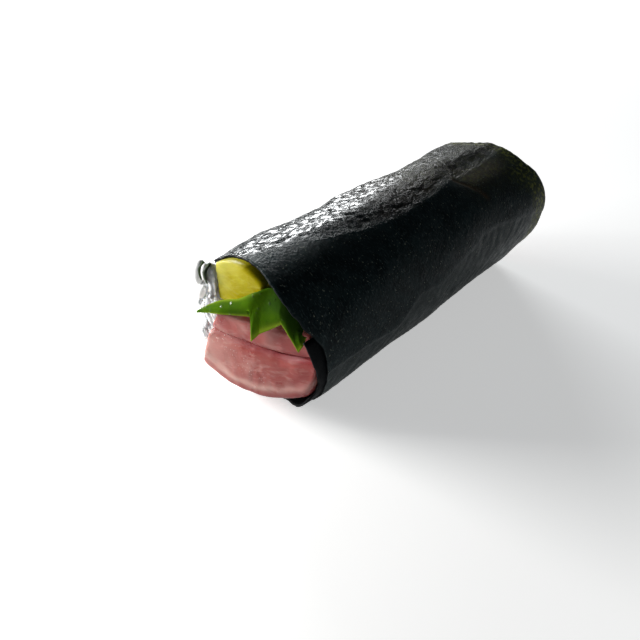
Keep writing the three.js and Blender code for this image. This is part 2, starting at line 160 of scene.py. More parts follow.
@dataclass(frozen=True)
class Wrapping:
    """The wrapped shape that the nori gives the roll, in mm and degrees."""

    radius: float = 20.4
    rest_height: float = 19.4
    thickness: float = 0.45
    layer_gap: float = 0.35
    inner_edge: float = 26.0
    winding: float = 504.0
    clearance: float = 0.35
    top_flat: float = 102.0
    near_rim: tuple = ((0, -7.6), (12, -7), (26, -5.9), (36, -5), (48, -5.4), (58, -7.4), (72, -6.8),
                       (95, -5.2), (150, -4.4), (225, -4.2), (246, -5.4), (262, -8), (288, -6.6),
                       (304, -6.9), (328, -8), (340, -7.8), (350, -6.9), (360, -5.3), (371, -3.8),
                       (400, -3), (504, -3.2))
    far_rim: tuple = ((0, 94.8), (60, 93.8), (110, 92), (200, 90.8), (250, 91.6), (286, 92), (324, 93),
                      (345, 94.9), (362, 95.4), (386, 94.8), (410, 93.8), (504, 92))
    profiles: tuple = (
        (124, 24, ((-8, 19.9), (0, 20.6), (6, 21), (14, 20.6), (25, 20.8), (33, 21.9), (44, 22),
                   (58, 21.4), (70, 22.1), (82, 23.3), (88, 23.3), (95, 22.4))),
        (78, 22, ((-8, 20.4), (56, 20.4), (67, 18.9), (78, 18.7), (94, 19.8))),
        (20, 26, ((-8, 20.3), (60, 20.4), (80, 20.8), (96, 21.3))),
        (-32, 22, ((-8, 20.8), (-2, 21.1), (22, 20.9), (36, 21.2), (48, 20.7), (80, 20.7), (92, 19.8))),
    )

    def outer(self, angle: Array, y: Array) -> Array:
        """Outer radius of the wrapped sheet.

        Args:
            angle: Direction in degrees.
            y: Place along the roll.

        Returns:
            Radius, flattened at the top and where the roll rests.
        """
        angle, y = np.broadcast_arrays(np.asarray(angle, float), np.asarray(y, float))
        radius = (self.radius + 0.14 * np.sin(np.radians(3 * angle + 5 * y))
                  + 0.1 * np.sin(np.radians(7 * angle - 9 * y)))
        for centre, width, line in self.profiles:
            radius = radius + bell(angle, centre, width) * (along(line, y) - self.radius)
        turn = np.cos(np.radians(wrap(angle - self.top_flat)))
        plane = (self.radius - 0.3) / np.where(turn > 0.5, turn, 1.0)
        blend = np.clip(0.5 + (plane - radius), 0.0, 1.0)
        eased = lerp(plane, radius, blend) - 0.5 * blend * (1 - blend)
        radius = np.where(turn > 0.5, eased, radius)
        down = np.cos(np.radians(wrap(angle + 90)))
        floor = self.rest_height / np.where(down > 0.5, down, 1.0)
        return np.where(down > 0.5, np.minimum(radius, floor), radius)

    def depth(self, winding: Array) -> Array:
        """How far the sheet's outer face lies inside the wrapped surface at a winding angle."""
        return (self.thickness + self.layer_gap) * (1 - smooth(winding, 190, 330))

    def room(self, angle: Array, y: Array, clearance: float) -> Array:
        """Radius that the fillings may reach, with a clearance to the sheet."""
        winding = np.mod(self.inner_edge - np.asarray(angle, float), 360.0)
        edge = (self.thickness + self.layer_gap) * smooth(winding, 336, 350)
        return self.outer(angle, y) - self.depth(winding) - self.thickness - edge - clearance


WRAPPING = Wrapping()
FAR_FACE = 89.0


def fish_face(x: Array, z: Array) -> Array:
    """y of the fish's near face, which leans out towards the lower left."""
    return -10.4 + 0.2 * x + 0.12 * z + 0.002 * x * x


def radish_face(x: Array, z: Array) -> Array:
    """y of the radish's near face."""
    return -8.4 + 0.06 * x + 0.0 * z


def rice_face(x: Array, z: Array) -> Array:
    """y of the rice's near face, which stands out on the left, most of all low down."""
    left = smooth(-x, 7, 10.5)
    droop = 2.4 * smooth(z, 13, 18) + 3 * smooth(-z, 12, 16)
    return lerp(-3.2, droop - 0.2 * np.clip(-z, 0, 10) - 9.4, left)


def face_y(face: Face, x: float, z: float) -> float:
    """y of a face at one place."""
    return float(face(np.array(x), np.array(z)))


def far_face(x: Array, z: Array) -> Array:
    """y of the fillings' far face."""
    return FAR_FACE + 0.12 * np.maximum(x, 0) - 0.02 * z


def closed_curve(points: Line, count: int) -> Array:
    """Evenly spaced points of a smooth closed curve.

    Args:
        points: Corners (x, z) that the curve goes through.
        count: How many points to return.

    Returns:
        Array (count, 2).
    """
    table = np.asarray(points, float)
    size = len(table)
    fine = []
    for i in range(size):
        p0, p1, p2, p3 = (table[(i + k) % size] for k in (-1, 0, 1, 2))
        fine += [hermite(t, p1, p2, 0.4 * (p2 - p0), 0.4 * (p3 - p1))
                 for t in np.linspace(0, 1, 24, endpoint=False)]
    closed = np.array([*fine, fine[0]])
    length = np.concatenate([[0], np.cumsum(np.linalg.norm(np.diff(closed, axis=0), axis=1))])
    want = np.linspace(0, length[-1], count, endpoint=False)
    return np.stack([np.interp(want, length, closed[:, k]) for k in (0, 1)], axis=1)


def within(outline: Array, x: float, z: float, margin: float) -> bool:
    """Whether a place lies in a closed outline.

    Args:
        outline: Corners (N, 2) of the outline.
        x: First coordinate of the place.
        z: Second coordinate of the place.
        margin: How much the outline is grown.

    Returns:
        True inside, or nearer than the margin.
    """
    a, b = outline, np.roll(outline, -1, axis=0)
    span = np.where(np.abs(b[:, 1] - a[:, 1]) < 1e-9, 1e-9, b[:, 1] - a[:, 1])
    crossing = (a[:, 1] > z) != (b[:, 1] > z)
    left = x < (b[:, 0] - a[:, 0]) * (z - a[:, 1]) / span + a[:, 0]
    inside = bool(np.count_nonzero(crossing & left) % 2)
    run = b - a
    t = np.clip(((x - a[:, 0]) * run[:, 0] + (z - a[:, 1]) * run[:, 1]) / (run**2).sum(1), 0, 1)
    near = np.hypot(a[:, 0] + t * run[:, 0] - x, a[:, 1] + t * run[:, 1] - z).min()
    return inside or near < margin


# ------------------------------------------------------------------------------------ mesh building


def mesh_object(name: str, points: Array, faces: Sequence[Sequence[int]]) -> Object:
    """Object of a mesh in the part's frame.

    Args:
        name: Name of the piece.
        points: Corners (N, 3) in mm in the roll's frame.
        faces: Corner numbers of every face.

    Returns:
        The linked object, at the origin.
    """
    mesh = bpy.data.meshes.new(name)
    placed = (np.asarray(points, float) + ROLL_ORIGIN) * MM
    mesh.from_pydata(placed.tolist(), [], [tuple(int(i) for i in f) for f in faces])
    mesh.update()
    mesh.shade_smooth()
    obj = bpy.data.objects.new(name, mesh)
    bpy.context.collection.objects.link(obj)
    return obj


def float_attribute(obj: Object, name: str, values: Array) -> None:
    """Stores one number a corner point on a mesh."""
    layer = obj.data.attributes.new(name, "FLOAT", "POINT")
    layer.data.foreach_set("value", np.asarray(values, np.float32).ravel())


def vector_attribute(obj: Object, name: str, values: Array) -> None:
    """Stores one vector a corner point on a mesh."""
    layer = obj.data.attributes.new(name, "FLOAT_VECTOR", "POINT")
    layer.data.foreach_set("vector", np.asarray(values, np.float32).ravel())


def corners_of(obj: Object) -> Array:
    """Corners (N, 3) of a mesh in metres in the part's frame."""
    flat = np.empty(len(obj.data.vertices) * 3, np.float32)
    obj.data.vertices.foreach_get("co", flat)
    return flat.reshape(-1, 3)


def roll_corners(obj: Object) -> Array:
    """Corners (N, 3) of a mesh in mm in the roll's frame."""
    return corners_of(obj) / MM - ROLL_ORIGIN


def move_corners(obj: Object, corners: Array) -> None:
    """Puts a mesh's corners at new places, in metres in the part's frame."""
    obj.data.vertices.foreach_set("co", corners.astype(np.float32).ravel())
    obj.data.update()


def keep_in_box(obj: Object, low: Sequence[float], high: Sequence[float]) -> None:
    """Moves points that stand outside a box back onto it."""
    move_corners(obj, np.clip(corners_of(obj), np.asarray(low) + 1e-5, np.asarray(high) - 1e-5))


def evaluated_mesh(obj: Object) -> None:
    """Turns an object's live modifiers into its plain mesh and removes them."""
    graph = bpy.context.evaluated_depsgraph_get()
    result = bpy.data.meshes.new_from_object(obj.evaluated_get(graph))
    obj.modifiers.clear()
    result.name = obj.name
    obj.data = result
    obj.data.shade_smooth()


# ---------------------------------------------------------------------------------- shader building


class Nodes:
    """A node tree, with short ways to add and join nodes."""

    def __init__(self, tree: Tree, prefix: str) -> None:
        """Takes a tree, and the prefix of the node types that it is given."""
        self.tree = tree
        self.prefix = prefix

    def give(self, socket: Socket, value: object) -> None:
        """Sets an input, or links it where the value is a socket.

        Args:
            socket: The input.
            value: A socket, a value, or a colour of three parts.
        """
        if isinstance(value, Socket):
            self.tree.links.new(value, socket)
        elif socket.type == "RGBA" and len(value) == 3:
            socket.default_value = (*value, 1.0)
        else:
            socket.default_value = value

    def node(self, kind: str, values: dict | None = None, **settings: object) -> Node:
        """Adds a node.

        Args:
            kind: Node type, without the tree's prefix.
            values: Input values by socket name or number; a socket as a value is linked.
            **settings: Properties of the node.

        Returns:
            The node.
        """
        made = self.tree.nodes.new(self.prefix + kind)
        for key, value in settings.items():
            setattr(made, key, value)
        for key, value in (values or {}).items():
            self.give(made.inputs[key], value)
        return made


class Shader(Nodes):
    """A material's node tree."""

    def __init__(self, name: str) -> None:
        """Starts a material with a Principled BSDF."""
        self.material = bpy.data.materials.new(name)
        self.material.use_nodes = True
        super().__init__(self.material.node_tree, "ShaderNode")
        self.surface = self.tree.nodes["Principled BSDF"]

    def place(self) -> Socket:
        """Object coordinates of the surface, in metres."""
        return self.node("TexCoord").outputs["Object"]

    def mask(self, name: str) -> Socket:
        """A number from 0 to 1 that the mesh carries."""
        return self.node("Attribute", attribute_name=name).outputs["Fac"]

    def stretched(self, source: Socket, scale: Sequence[float], turn: Sequence[float] = (0, 0, 0)
                  ) -> Socket:
        """Coordinates scaled and turned (degrees), for a pattern with a direction."""
        return self.node("Mapping", {"Vector": source, "Rotation": [math.radians(a) for a in turn],
                                     "Scale": [1 / a for a in scale]},
                         vector_type="TEXTURE").outputs["Vector"]

    def noise(self, source: Socket, scale: float, detail: float = 3.0, rough: float = 0.55,
              warp: float = 0.0) -> Socket:
        """Noise from 0 to 1 over coordinates."""
        return self.node("TexNoise", {"Vector": source, "Scale": scale, "Detail": detail,
                                      "Roughness": rough, "Distortion": warp}).outputs["Fac"]

    def ramp(self, source: Socket, low: float, high: float, start: float = 0.0, end: float = 1.0
             ) -> Socket:
        """Eases a value from start to end while the source goes from low to high."""
        return self.node("MapRange", {"Value": source, "From Min": low, "From Max": high,
                                      "To Min": start, "To Max": end},
                         interpolation_type="SMOOTHSTEP").outputs["Result"]

    def maths(self, how: str, a: object, b: object, clamp: bool = False) -> Socket:
        """Result of a Math node."""
        return self.node("Math", {0: a, 1: b}, operation=how, use_clamp=clamp).outputs[0]

    def mix(self, share: object, a: object, b: object) -> Socket:
        """Colour between a and b; each is a colour or a socket."""
        return self.node("Mix", {0: share, 6: a, 7: b}, data_type="RGBA", clamp_factor=True).outputs[2]

    def drops(self, source: Socket, scale: float, size: float, share: float) -> Socket:
        """Domes from 0 to 1 for drops of moisture.

        Args:
            source: Coordinates.
            scale: Cells per unit of the coordinates.
            size: Radius of a drop in cells.
            share: Share of the cells that hold one.

        Returns:
            Height of the drops.
        """
        cells = self.node("TexVoronoi", {"Vector": source, "Scale": scale})
        dome = self.ramp(cells.outputs["Distance"], 0.0, size, 1.0, 0.0)
        chosen = self.node("SeparateColor", {0: cells.outputs["Color"]}).outputs[0]
        return self.maths("MULTIPLY", dome, self.maths("LESS_THAN", chosen, share))

    def bump(self, height: Socket, depth: float, strength: float = 1.0, over: Socket | None = None
             ) -> Socket:
        """Normal with a relief of a depth in metres, on top of another normal."""
        under = {} if over is None else {"Normal": over}
        return self.node("Bump", {"Height": height, "Strength": strength, "Distance": depth, **under}
                         ).outputs["Normal"]

    def set(self, **values: object) -> Material:
        """Sets or links the surface's sockets, underscores standing for spaces.

        Args:
            **values: Value or socket of every input.

        Returns:
            The material.
        """
        for key, value in values.items():
            self.give(self.surface.inputs[key.replace("_", " ")], value)
        return self.material

    def food(self, base: Node, rough: tuple, relief: tuple, over: Socket | None = None,
             **values: object) -> Material:
        """Sets the surface's sockets, with roughness and fine relief from the shared group.

        Args:
            base: The shared group's node.
            rough: Lowest and highest roughness.
            relief: Depth in metres and strength of the fine relief.
            over: Normal that the relief lies on.
            **values: Value or socket of every other input.

        Returns:
            The material.
        """
        return self.set(Roughness=self.ramp(base.outputs["Patch"], 0, 1, *rough),
                        Normal=self.bump(base.outputs["Relief"], *relief, over), **values)


def food_mottle() -> Tree:
    """Shader node group shared by the foods: patchy colour and fine relief.

    Returns:
        A tree with inputs Vector, Size, Fine, Light and Dark, and outputs Color, Patch and Relief.
    """
    g = Nodes(bpy.data.node_groups.new("food_mottle", "ShaderNodeTree"), "ShaderNode")
    for way, names in (("INPUT", ("Vector Vector", "Size Float", "Fine Float", "Light Color",
                                  "Dark Color")),
                       ("OUTPUT", ("Color Color", "Patch Float", "Relief Float"))):
        for name, kind in map(str.split, names):
            g.tree.interface.new_socket(name, in_out=way, socket_type="NodeSocket" + kind)
    start = g.tree.nodes.new("NodeGroupInput").outputs
    end = g.tree.nodes.new("NodeGroupOutput").inputs
    wide = g.node("TexNoise", {"Vector": start["Vector"], "Scale": start["Size"], "Detail": 4.0})
    fine = g.node("TexNoise", {"Vector": start["Vector"], "Scale": start["Fine"], "Detail": 3.0})
    patch = g.node("MapRange", {"Value": wide.outputs["Fac"], "From Min": 0.34, "From Max": 0.66}
                   ).outputs["Result"]
    blend = g.node("Mix", {0: patch, 6: start["Dark"], 7: start["Light"]}, data_type="RGBA")
    for name, socket in (("Color", blend.outputs[2]), ("Patch", patch),
                         ("Relief", fine.outputs["Fac"])):
        g.give(end[name], socket)
    return g.tree


@dataclass(frozen=True)
class Mottle:
    """Values for the shared patchy colour: sizes are per metre, colours are linear."""

    size: float
    fine: float
    light: tuple
    dark: tuple

    def add(self, shader: Shader, tree: Tree, source: Socket) -> Node:
        """Adds the shared group to a material and returns its node."""
        return shader.node("Group", {"Vector": source, "Size": self.size, "Fine": self.fine,
                                     "Light": self.light, "Dark": self.dark}, node_tree=tree)


@dataclass(frozen=True)
class NoriFinish:
    """Roasted seaweed: black-green, wet and glossy along the top, satin and fibrous elsewhere."""

    mottle: Mottle = Mottle(260.0, 2400.0, (0.0125, 0.0240, 0.0265), (0.0032, 0.0088, 0.0105))
    # painted shade: the inner turn's colour is made much darker because it lies in shadow
    turned_in: Mottle = Mottle(260.0, 2400.0, (0.003, 0.0045, 0.006), (0.0008, 0.0014, 0.0024))
    soaked: Mottle = Mottle(260.0, 2400.0, (0.030, 0.055, 0.012), (0.008, 0.018, 0.005))
    # painted light: a warm tint where light shines through the thin sheet at the crease and the dent,
    # and painted reflection on the crumpled glossy band
    brown: tuple = (0.085, 0.050, 0.030)
    # painted light: a green tint where light shines through the thin sheet, at the far rim, in the dent
    # and on the far part of the crumpled top
    green: tuple = (0.19, 0.20, 0.048)
    # painted reflection: a pale sheen where the sheet mirrors the bright floor and surroundings, on the
    # lower facet and along a band near the far end
    grey: tuple = (0.060, 0.070, 0.070)
    stroke: tuple = (0.060, 0.086, 0.086)
    # partly the sheet's own stray flecks, partly painted sparkles of light
    speck: tuple = (0.21, 0.225, 0.18)

    def build(self, tree: Tree) -> Material:
        """Builds the sheet's material.

        Args:
            tree: The shared group.

        Returns:
            The material; the mesh carries its wet, rough, brown, green, grey and sheet attributes.
        """
        s = Shader("nori_roasted")
        place = s.place()
        sheet = s.node("Attribute", attribute_name="sheet").outputs["Vector"]
        wet, rough_top = s.mask("wet"), s.mask("rough")
        base = self.mottle.add(s, tree, place)
        # painted light shining through the sheet at the crease and dent, and painted reflection on the
        # glossy band
        colour = s.mix(s.mask("brown"), base.outputs["Color"], self.brown)
        # painted reflection of the bright floor and surroundings
        colour = s.mix(s.mask("grey"), colour, self.grey)
        strokes = s.noise(s.stretched(sheet, (0.9, 3.2, 1.0), (0, 0, 8)), 1.0, 3.0, 0.6, 0.3)
        colour = s.mix(s.ramp(strokes, 0.53, 0.70, 0.0, 0.9), colour, self.stroke)
        # painted light shining through the sheet, laid on in patches
        patches = s.ramp(s.noise(place, 850.0, 3.0), 0.46, 0.64, 0.16, 1.0)
        colour = s.mix(s.maths("MULTIPLY", s.mask("green"), patches), colour, self.green)
        # stray flecks of the sheet, brightened into painted sparkles of light
        specks = s.ramp(s.noise(place, 1700.0, 1.0), 0.68, 0.76, 0.0, 0.9)
        colour = s.mix(specks, colour, self.speck)
        crumple = self.folds(s, s.stretched(sheet, (1.0, 0.7, 1.0), (0, 0, 12)), 4.0)
        crease = self.folds(s, s.stretched(sheet, (1.9, 1.2, 1.0), (0, 0, -25)), 2.0)
        fibres = s.noise(s.stretched(sheet, (1.0, 0.16, 1.0), (0, 0, 40)), 1.5, 4.0, 0.6, 0.4)
        patch = s.ramp(s.noise(place, 420.0, 3.0), 0.35, 0.65)
        dry, glossy = s.ramp(patch, 0, 1, 0.30, 0.44), s.ramp(patch, 0, 1, 0.10, 0.28)
        rough = s.node("Mix", {0: wet, 2: dry, 3: glossy}, data_type="FLOAT").outputs[0]
        film = s.noise(s.stretched(sheet, (0.8, 0.5, 1.0)), 1.0, 4.0, 0.6)
        coat = s.maths("MULTIPLY", wet, s.ramp(film, 0.44, 0.62, 0.08, 0.9))
        normal = s.bump(s.maths("MULTIPLY", crumple, rough_top), 0.0021, 1.0)
        normal = s.bump(s.maths("MULTIPLY", crease, rough_top), 0.0012, 1.0, normal)
        normal = s.bump(fibres, 0.00022, 0.55, normal)
        normal = s.bump(s.noise(place, 1500.0, 2.0), 0.00022, 0.6, normal)
        return s.set(Base_Color=colour, Roughness=rough, Normal=normal, IOR=1.4,
                     Specular_IOR_Level=0.15, Coat_Weight=coat, Coat_Roughness=0.07)

    def build_inside(self, tree: Tree) -> Material:
        """Builds the duller finish of the inner turn, which lies against the rice; its much darker
        colour is painted shade, as the turn lies in shadow.
        """
        s = Shader("nori_inside")
        base = self.turned_in.add(s, tree, s.place())
        return s.food(base, (0.5, 0.7), (0.00012, 0.5), Base_Color=base.outputs["Color"],
                      Specular_IOR_Level=0.08)

    def build_shred(self, tree: Tree) -> Material:
        """Builds the finish of the soaked shreds that stick to the rice."""
        s = Shader("nori_shred")
        base = self.soaked.add(s, tree, s.place())
        return s.food(base, (0.35, 0.5), (0.00008, 0.5), Base_Color=base.outputs["Color"],
                      Specular_IOR_Level=0.1)

    def folds(self, s: Shader, source: Socket, detail: float) -> Socket:
        """Sharp-bottomed folds from 0 to 1, as in a sheet that has been wetted and has shrunk."""
        middle = s.maths("SUBTRACT", s.noise(source, 1.0, detail, 0.55, 0.5), 0.5)
        return s.maths("MULTIPLY", s.maths("ABSOLUTE", middle, 0.0), 3.0, True)


@dataclass(frozen=True)
class RiceFinish:
    """Cooked rice: white, slightly translucent and moist."""

    mottle: Mottle = Mottle(320.0, 3200.0, (0.97, 0.98, 0.96), (0.93, 0.94, 0.92))

    def build(self, tree: Tree, name: str) -> Material:
        """Builds the material.

        Args:
            tree: The shared group.
            name: Name of the material.

        Returns:
            The material.
        """
        s = Shader(name)
        base = self.mottle.add(s, tree, s.place())
        return s.food(base, (0.2, 0.42), (0.00008, 0.4), Base_Color=base.outputs["Color"], IOR=1.38,
                      Subsurface_Weight=0.85, Subsurface_Scale=0.0045,
                      Subsurface_Radius=(1.0, 0.95, 0.85), Coat_Weight=0.25, Coat_Roughness=0.15)


@dataclass(frozen=True)
class RadishFinish:
    """Yellow pickled radish: lemon yellow and wet, more golden low down, with fine cross lines; its
    paler upper left and top edge are painted light and sheen.
    """

    mottle: Mottle = Mottle(170.0, 1800.0, (0.34, 0.290, 0.002), (0.275, 0.228, 0.0015))
    # painted light and sheen: a paler, whiter yellow where the light falls, on the upper left and along
    # the top edge
    pale: tuple = (0.50, 0.48, 0.10)
    gold: tuple = (0.52, 0.36, 0.004)
    line: tuple = (0.52, 0.48, 0.07)

    def build(self, tree: Tree) -> Material:
        """Builds the material.

        Args:
            tree: The shared group.

        Returns:
            The material; the mesh carries its pale and gold attributes.
        """
        s = Shader("radish_pickled")
        place = s.place()
        base = self.mottle.add(s, tree, place)
        # painted light and sheen on the upper left and the top edge
        colour = s.mix(s.mask("pale"), base.outputs["Color"], self.pale)
        colour = s.mix(s.mask("gold"), colour, self.gold)
        lines = s.noise(s.stretched(place, (0.16, 0.16, 1.0), (0, -30, 0)), 1700.0, 3.0)
        colour = s.mix(s.ramp(lines, 0.45, 0.75, 0.0, 0.35), colour, self.line)
        drops = s.drops(place, 420.0, 0.3, 0.12)
        normal = s.bump(drops, 0.0004, 0.8, s.bump(lines, 0.00012, 0.5))
        return s.food(base, (0.24, 0.4), (0.00006, 0.35), normal, Base_Color=colour, IOR=1.35,
                      Specular_IOR_Level=0.08, Subsurface_Weight=0.3, Subsurface_Scale=0.0016,
                      Subsurface_Radius=(1.0, 0.7, 0.1), Coat_Weight=s.maths("MULTIPLY", drops, 0.8),
                      Coat_Roughness=0.06)


@dataclass(frozen=True)
class FishFinish:
    """Raw fish: pink flesh with paler connective lines and a wet skin; the darker red in the crease,
    towards the right and on the upper slab is painted shade, the paler lower left is painted light, and
    the pale dots of moisture are painted glints.
    """

    mottle: Mottle = Mottle(140.0, 1500.0, (0.335, 0.092, 0.078), (0.265, 0.060, 0.054))
    # colour of the pale connective lines, also used to paint light onto the lower left
    fat: tuple = (0.48, 0.275, 0.24)
    # painted shade: darker red for the crease between the slabs, the right side and the upper slab
    deep: tuple = (0.26, 0.035, 0.04)
    # painted highlight: near-white colour for the glints on the moisture drops
    bead: tuple = (0.82, 0.68, 0.63)

    def build(self, tree: Tree) -> Material:
        """Builds the material.

        Args:
            tree: The shared group.

        Returns:
            The material; the mesh carries its fat, deep and wet attributes.
        """
        s = Shader("fish_raw")
        place = s.place()
        base = self.mottle.add(s, tree, place)
        threads = s.noise(s.stretched(place, (0.35, 1.0, 1.3), (0, -18, 0)), 520.0, 4.0, 0.6, 0.8)
        colour = s.mix(s.ramp(threads, 0.5, 0.72, 0.0, 0.45), base.outputs["Color"], self.fat)
        # the mask holds the real paler lines and patches, and painted light that pales the lower left
        colour = s.mix(s.mask("fat"), colour, self.fat)
        # painted shade in the crease, towards the right and on the upper slab
        colour = s.mix(s.mask("deep"), colour, self.deep)
        beads = s.maths("MULTIPLY", s.drops(place, 1700.0, 0.4, 0.45), s.mask("wet"))
        # painted highlight: the drops are coloured near white as glints
        colour = s.mix(s.maths("MULTIPLY", beads, 0.8), colour, self.bead)
        normal = s.bump(beads, 0.00025, 0.8, s.bump(threads, 0.00022, 0.5))
        return s.food(base, (0.26, 0.44), (0.00006, 0.4), normal, Base_Color=colour, IOR=1.36,
                      Specular_IOR_Level=0.3, Subsurface_Weight=0.35, Subsurface_Scale=0.0018,
                      Subsurface_Radius=(1.0, 0.35, 0.25), Coat_Roughness=0.05,
                      Coat_Weight=s.maths("MULTIPLY", beads, 0.9))


@dataclass(frozen=True)
class LeafFinish:
    """Green shiso: mid green, satin, wet in drops, with a lighter rim along its edges that is painted
    light catching them.
    """

    mottle: Mottle = Mottle(230.0, 2600.0, (0.040, 0.096, 0.001), (0.024, 0.062, 0.001))
    # painted light: a lighter, yellower green where light catches the leaf's edges
    rim: tuple = (0.17, 0.24, 0.014)
    shade: tuple = (0.010, 0.030, 0.006)

    def build(self, tree: Tree) -> Material:
        """Builds the material.

        Args:
            tree: The shared group.

        Returns:
            The material; the mesh carries its rim and shade attributes.
        """
        s = Shader("shiso_green")
        place = s.place()
        base = self.mottle.add(s, tree, place)
        # painted light along the edges
        colour = s.mix(s.mask("rim"), base.outputs["Color"], self.rim)
        colour = s.mix(s.mask("shade"), colour, self.shade)
        cells = s.node("TexVoronoi", {"Vector": place, "Scale": 1300.0}).outputs["Distance"]
        drops = s.drops(place, 760.0, 0.36, 0.3)
        normal = s.bump(drops, 0.0003, 0.8, s.bump(cells, 0.00012, 0.35))
        return s.food(base, (0.62, 0.8), (0.00005, 0.4), normal, Base_Color=colour, IOR=1.33,
                      Specular_IOR_Level=0.02, Subsurface_Weight=0.1, Subsurface_Scale=0.0005,
                      Subsurface_Radius=(0.3, 1.0, 0.1), Coat_Weight=s.maths("MULTIPLY", drops, 0.8),
                      Coat_Roughness=0.06)


# ----------------------------------------------------------------------------------- the nori sheet


class GeometryTree(Nodes):
    """A Geometry Nodes tree with named inputs, applied to one object."""

    def __init__(self, name: str, **inputs: str) -> None:
        """Starts a tree that takes and gives geometry.

        Args:
            name: Name of the tree.
            **inputs: Socket kind, such as Float, Int, Object or Material, of every named input.
        """
        super().__init__(bpy.data.node_groups.new(name, "GeometryNodeTree"), "")
        self.identifiers: dict[str, str] = {}
        add = self.tree.interface.new_socket
        for key, kind in {"Geometry": "Geometry", **inputs}.items():
            socket = add(key, in_out="INPUT", socket_type="NodeSocket" + kind)
            self.identifiers[key] = socket.identifier
        add("Geometry", in_out="OUTPUT", socket_type="NodeSocketGeometry")
        self.given = self.tree.nodes.new("NodeGroupInput").outputs
        self.end = self.tree.nodes.new("NodeGroupOutput")

    def maths(self, how: str, a: object, b: object) -> Socket:
        """Result of a Math node."""
        return self.node("ShaderNodeMath", {0: a, 1: b}, operation=how).outputs[0]

    def named(self, name: str, kind: str = "FLOAT") -> Socket:
        """A named attribute of the mesh."""
        return self.node("GeometryNodeInputNamedAttribute", {"Name": name}, data_type=kind
                         ).outputs["Attribute"]

    def finish(self, result: Socket) -> None:
        """Ends the tree in Realize Instances and Set Material."""
        real = self.node("GeometryNodeRealizeInstances", {"Geometry": result})
        dressed = self.node("GeometryNodeSetMaterial", {"Geometry": real.outputs[0],
                                                        "Material": self.given["Material"]})
        self.give(self.end.inputs[0], dressed.outputs[0])

    def apply(self, obj: Object, **values: object) -> None:
        """Runs the tree on an object and leaves a plain mesh.

        Args:
            obj: Object whose mesh the tree takes.
            **values: Values of the named inputs.
        """
        modifier = obj.modifiers.new(self.tree.name, "NODES")
        modifier.node_group = self.tree
        for name, value in values.items():
            modifier[self.identifiers[name]] = value
        evaluated_mesh(obj)


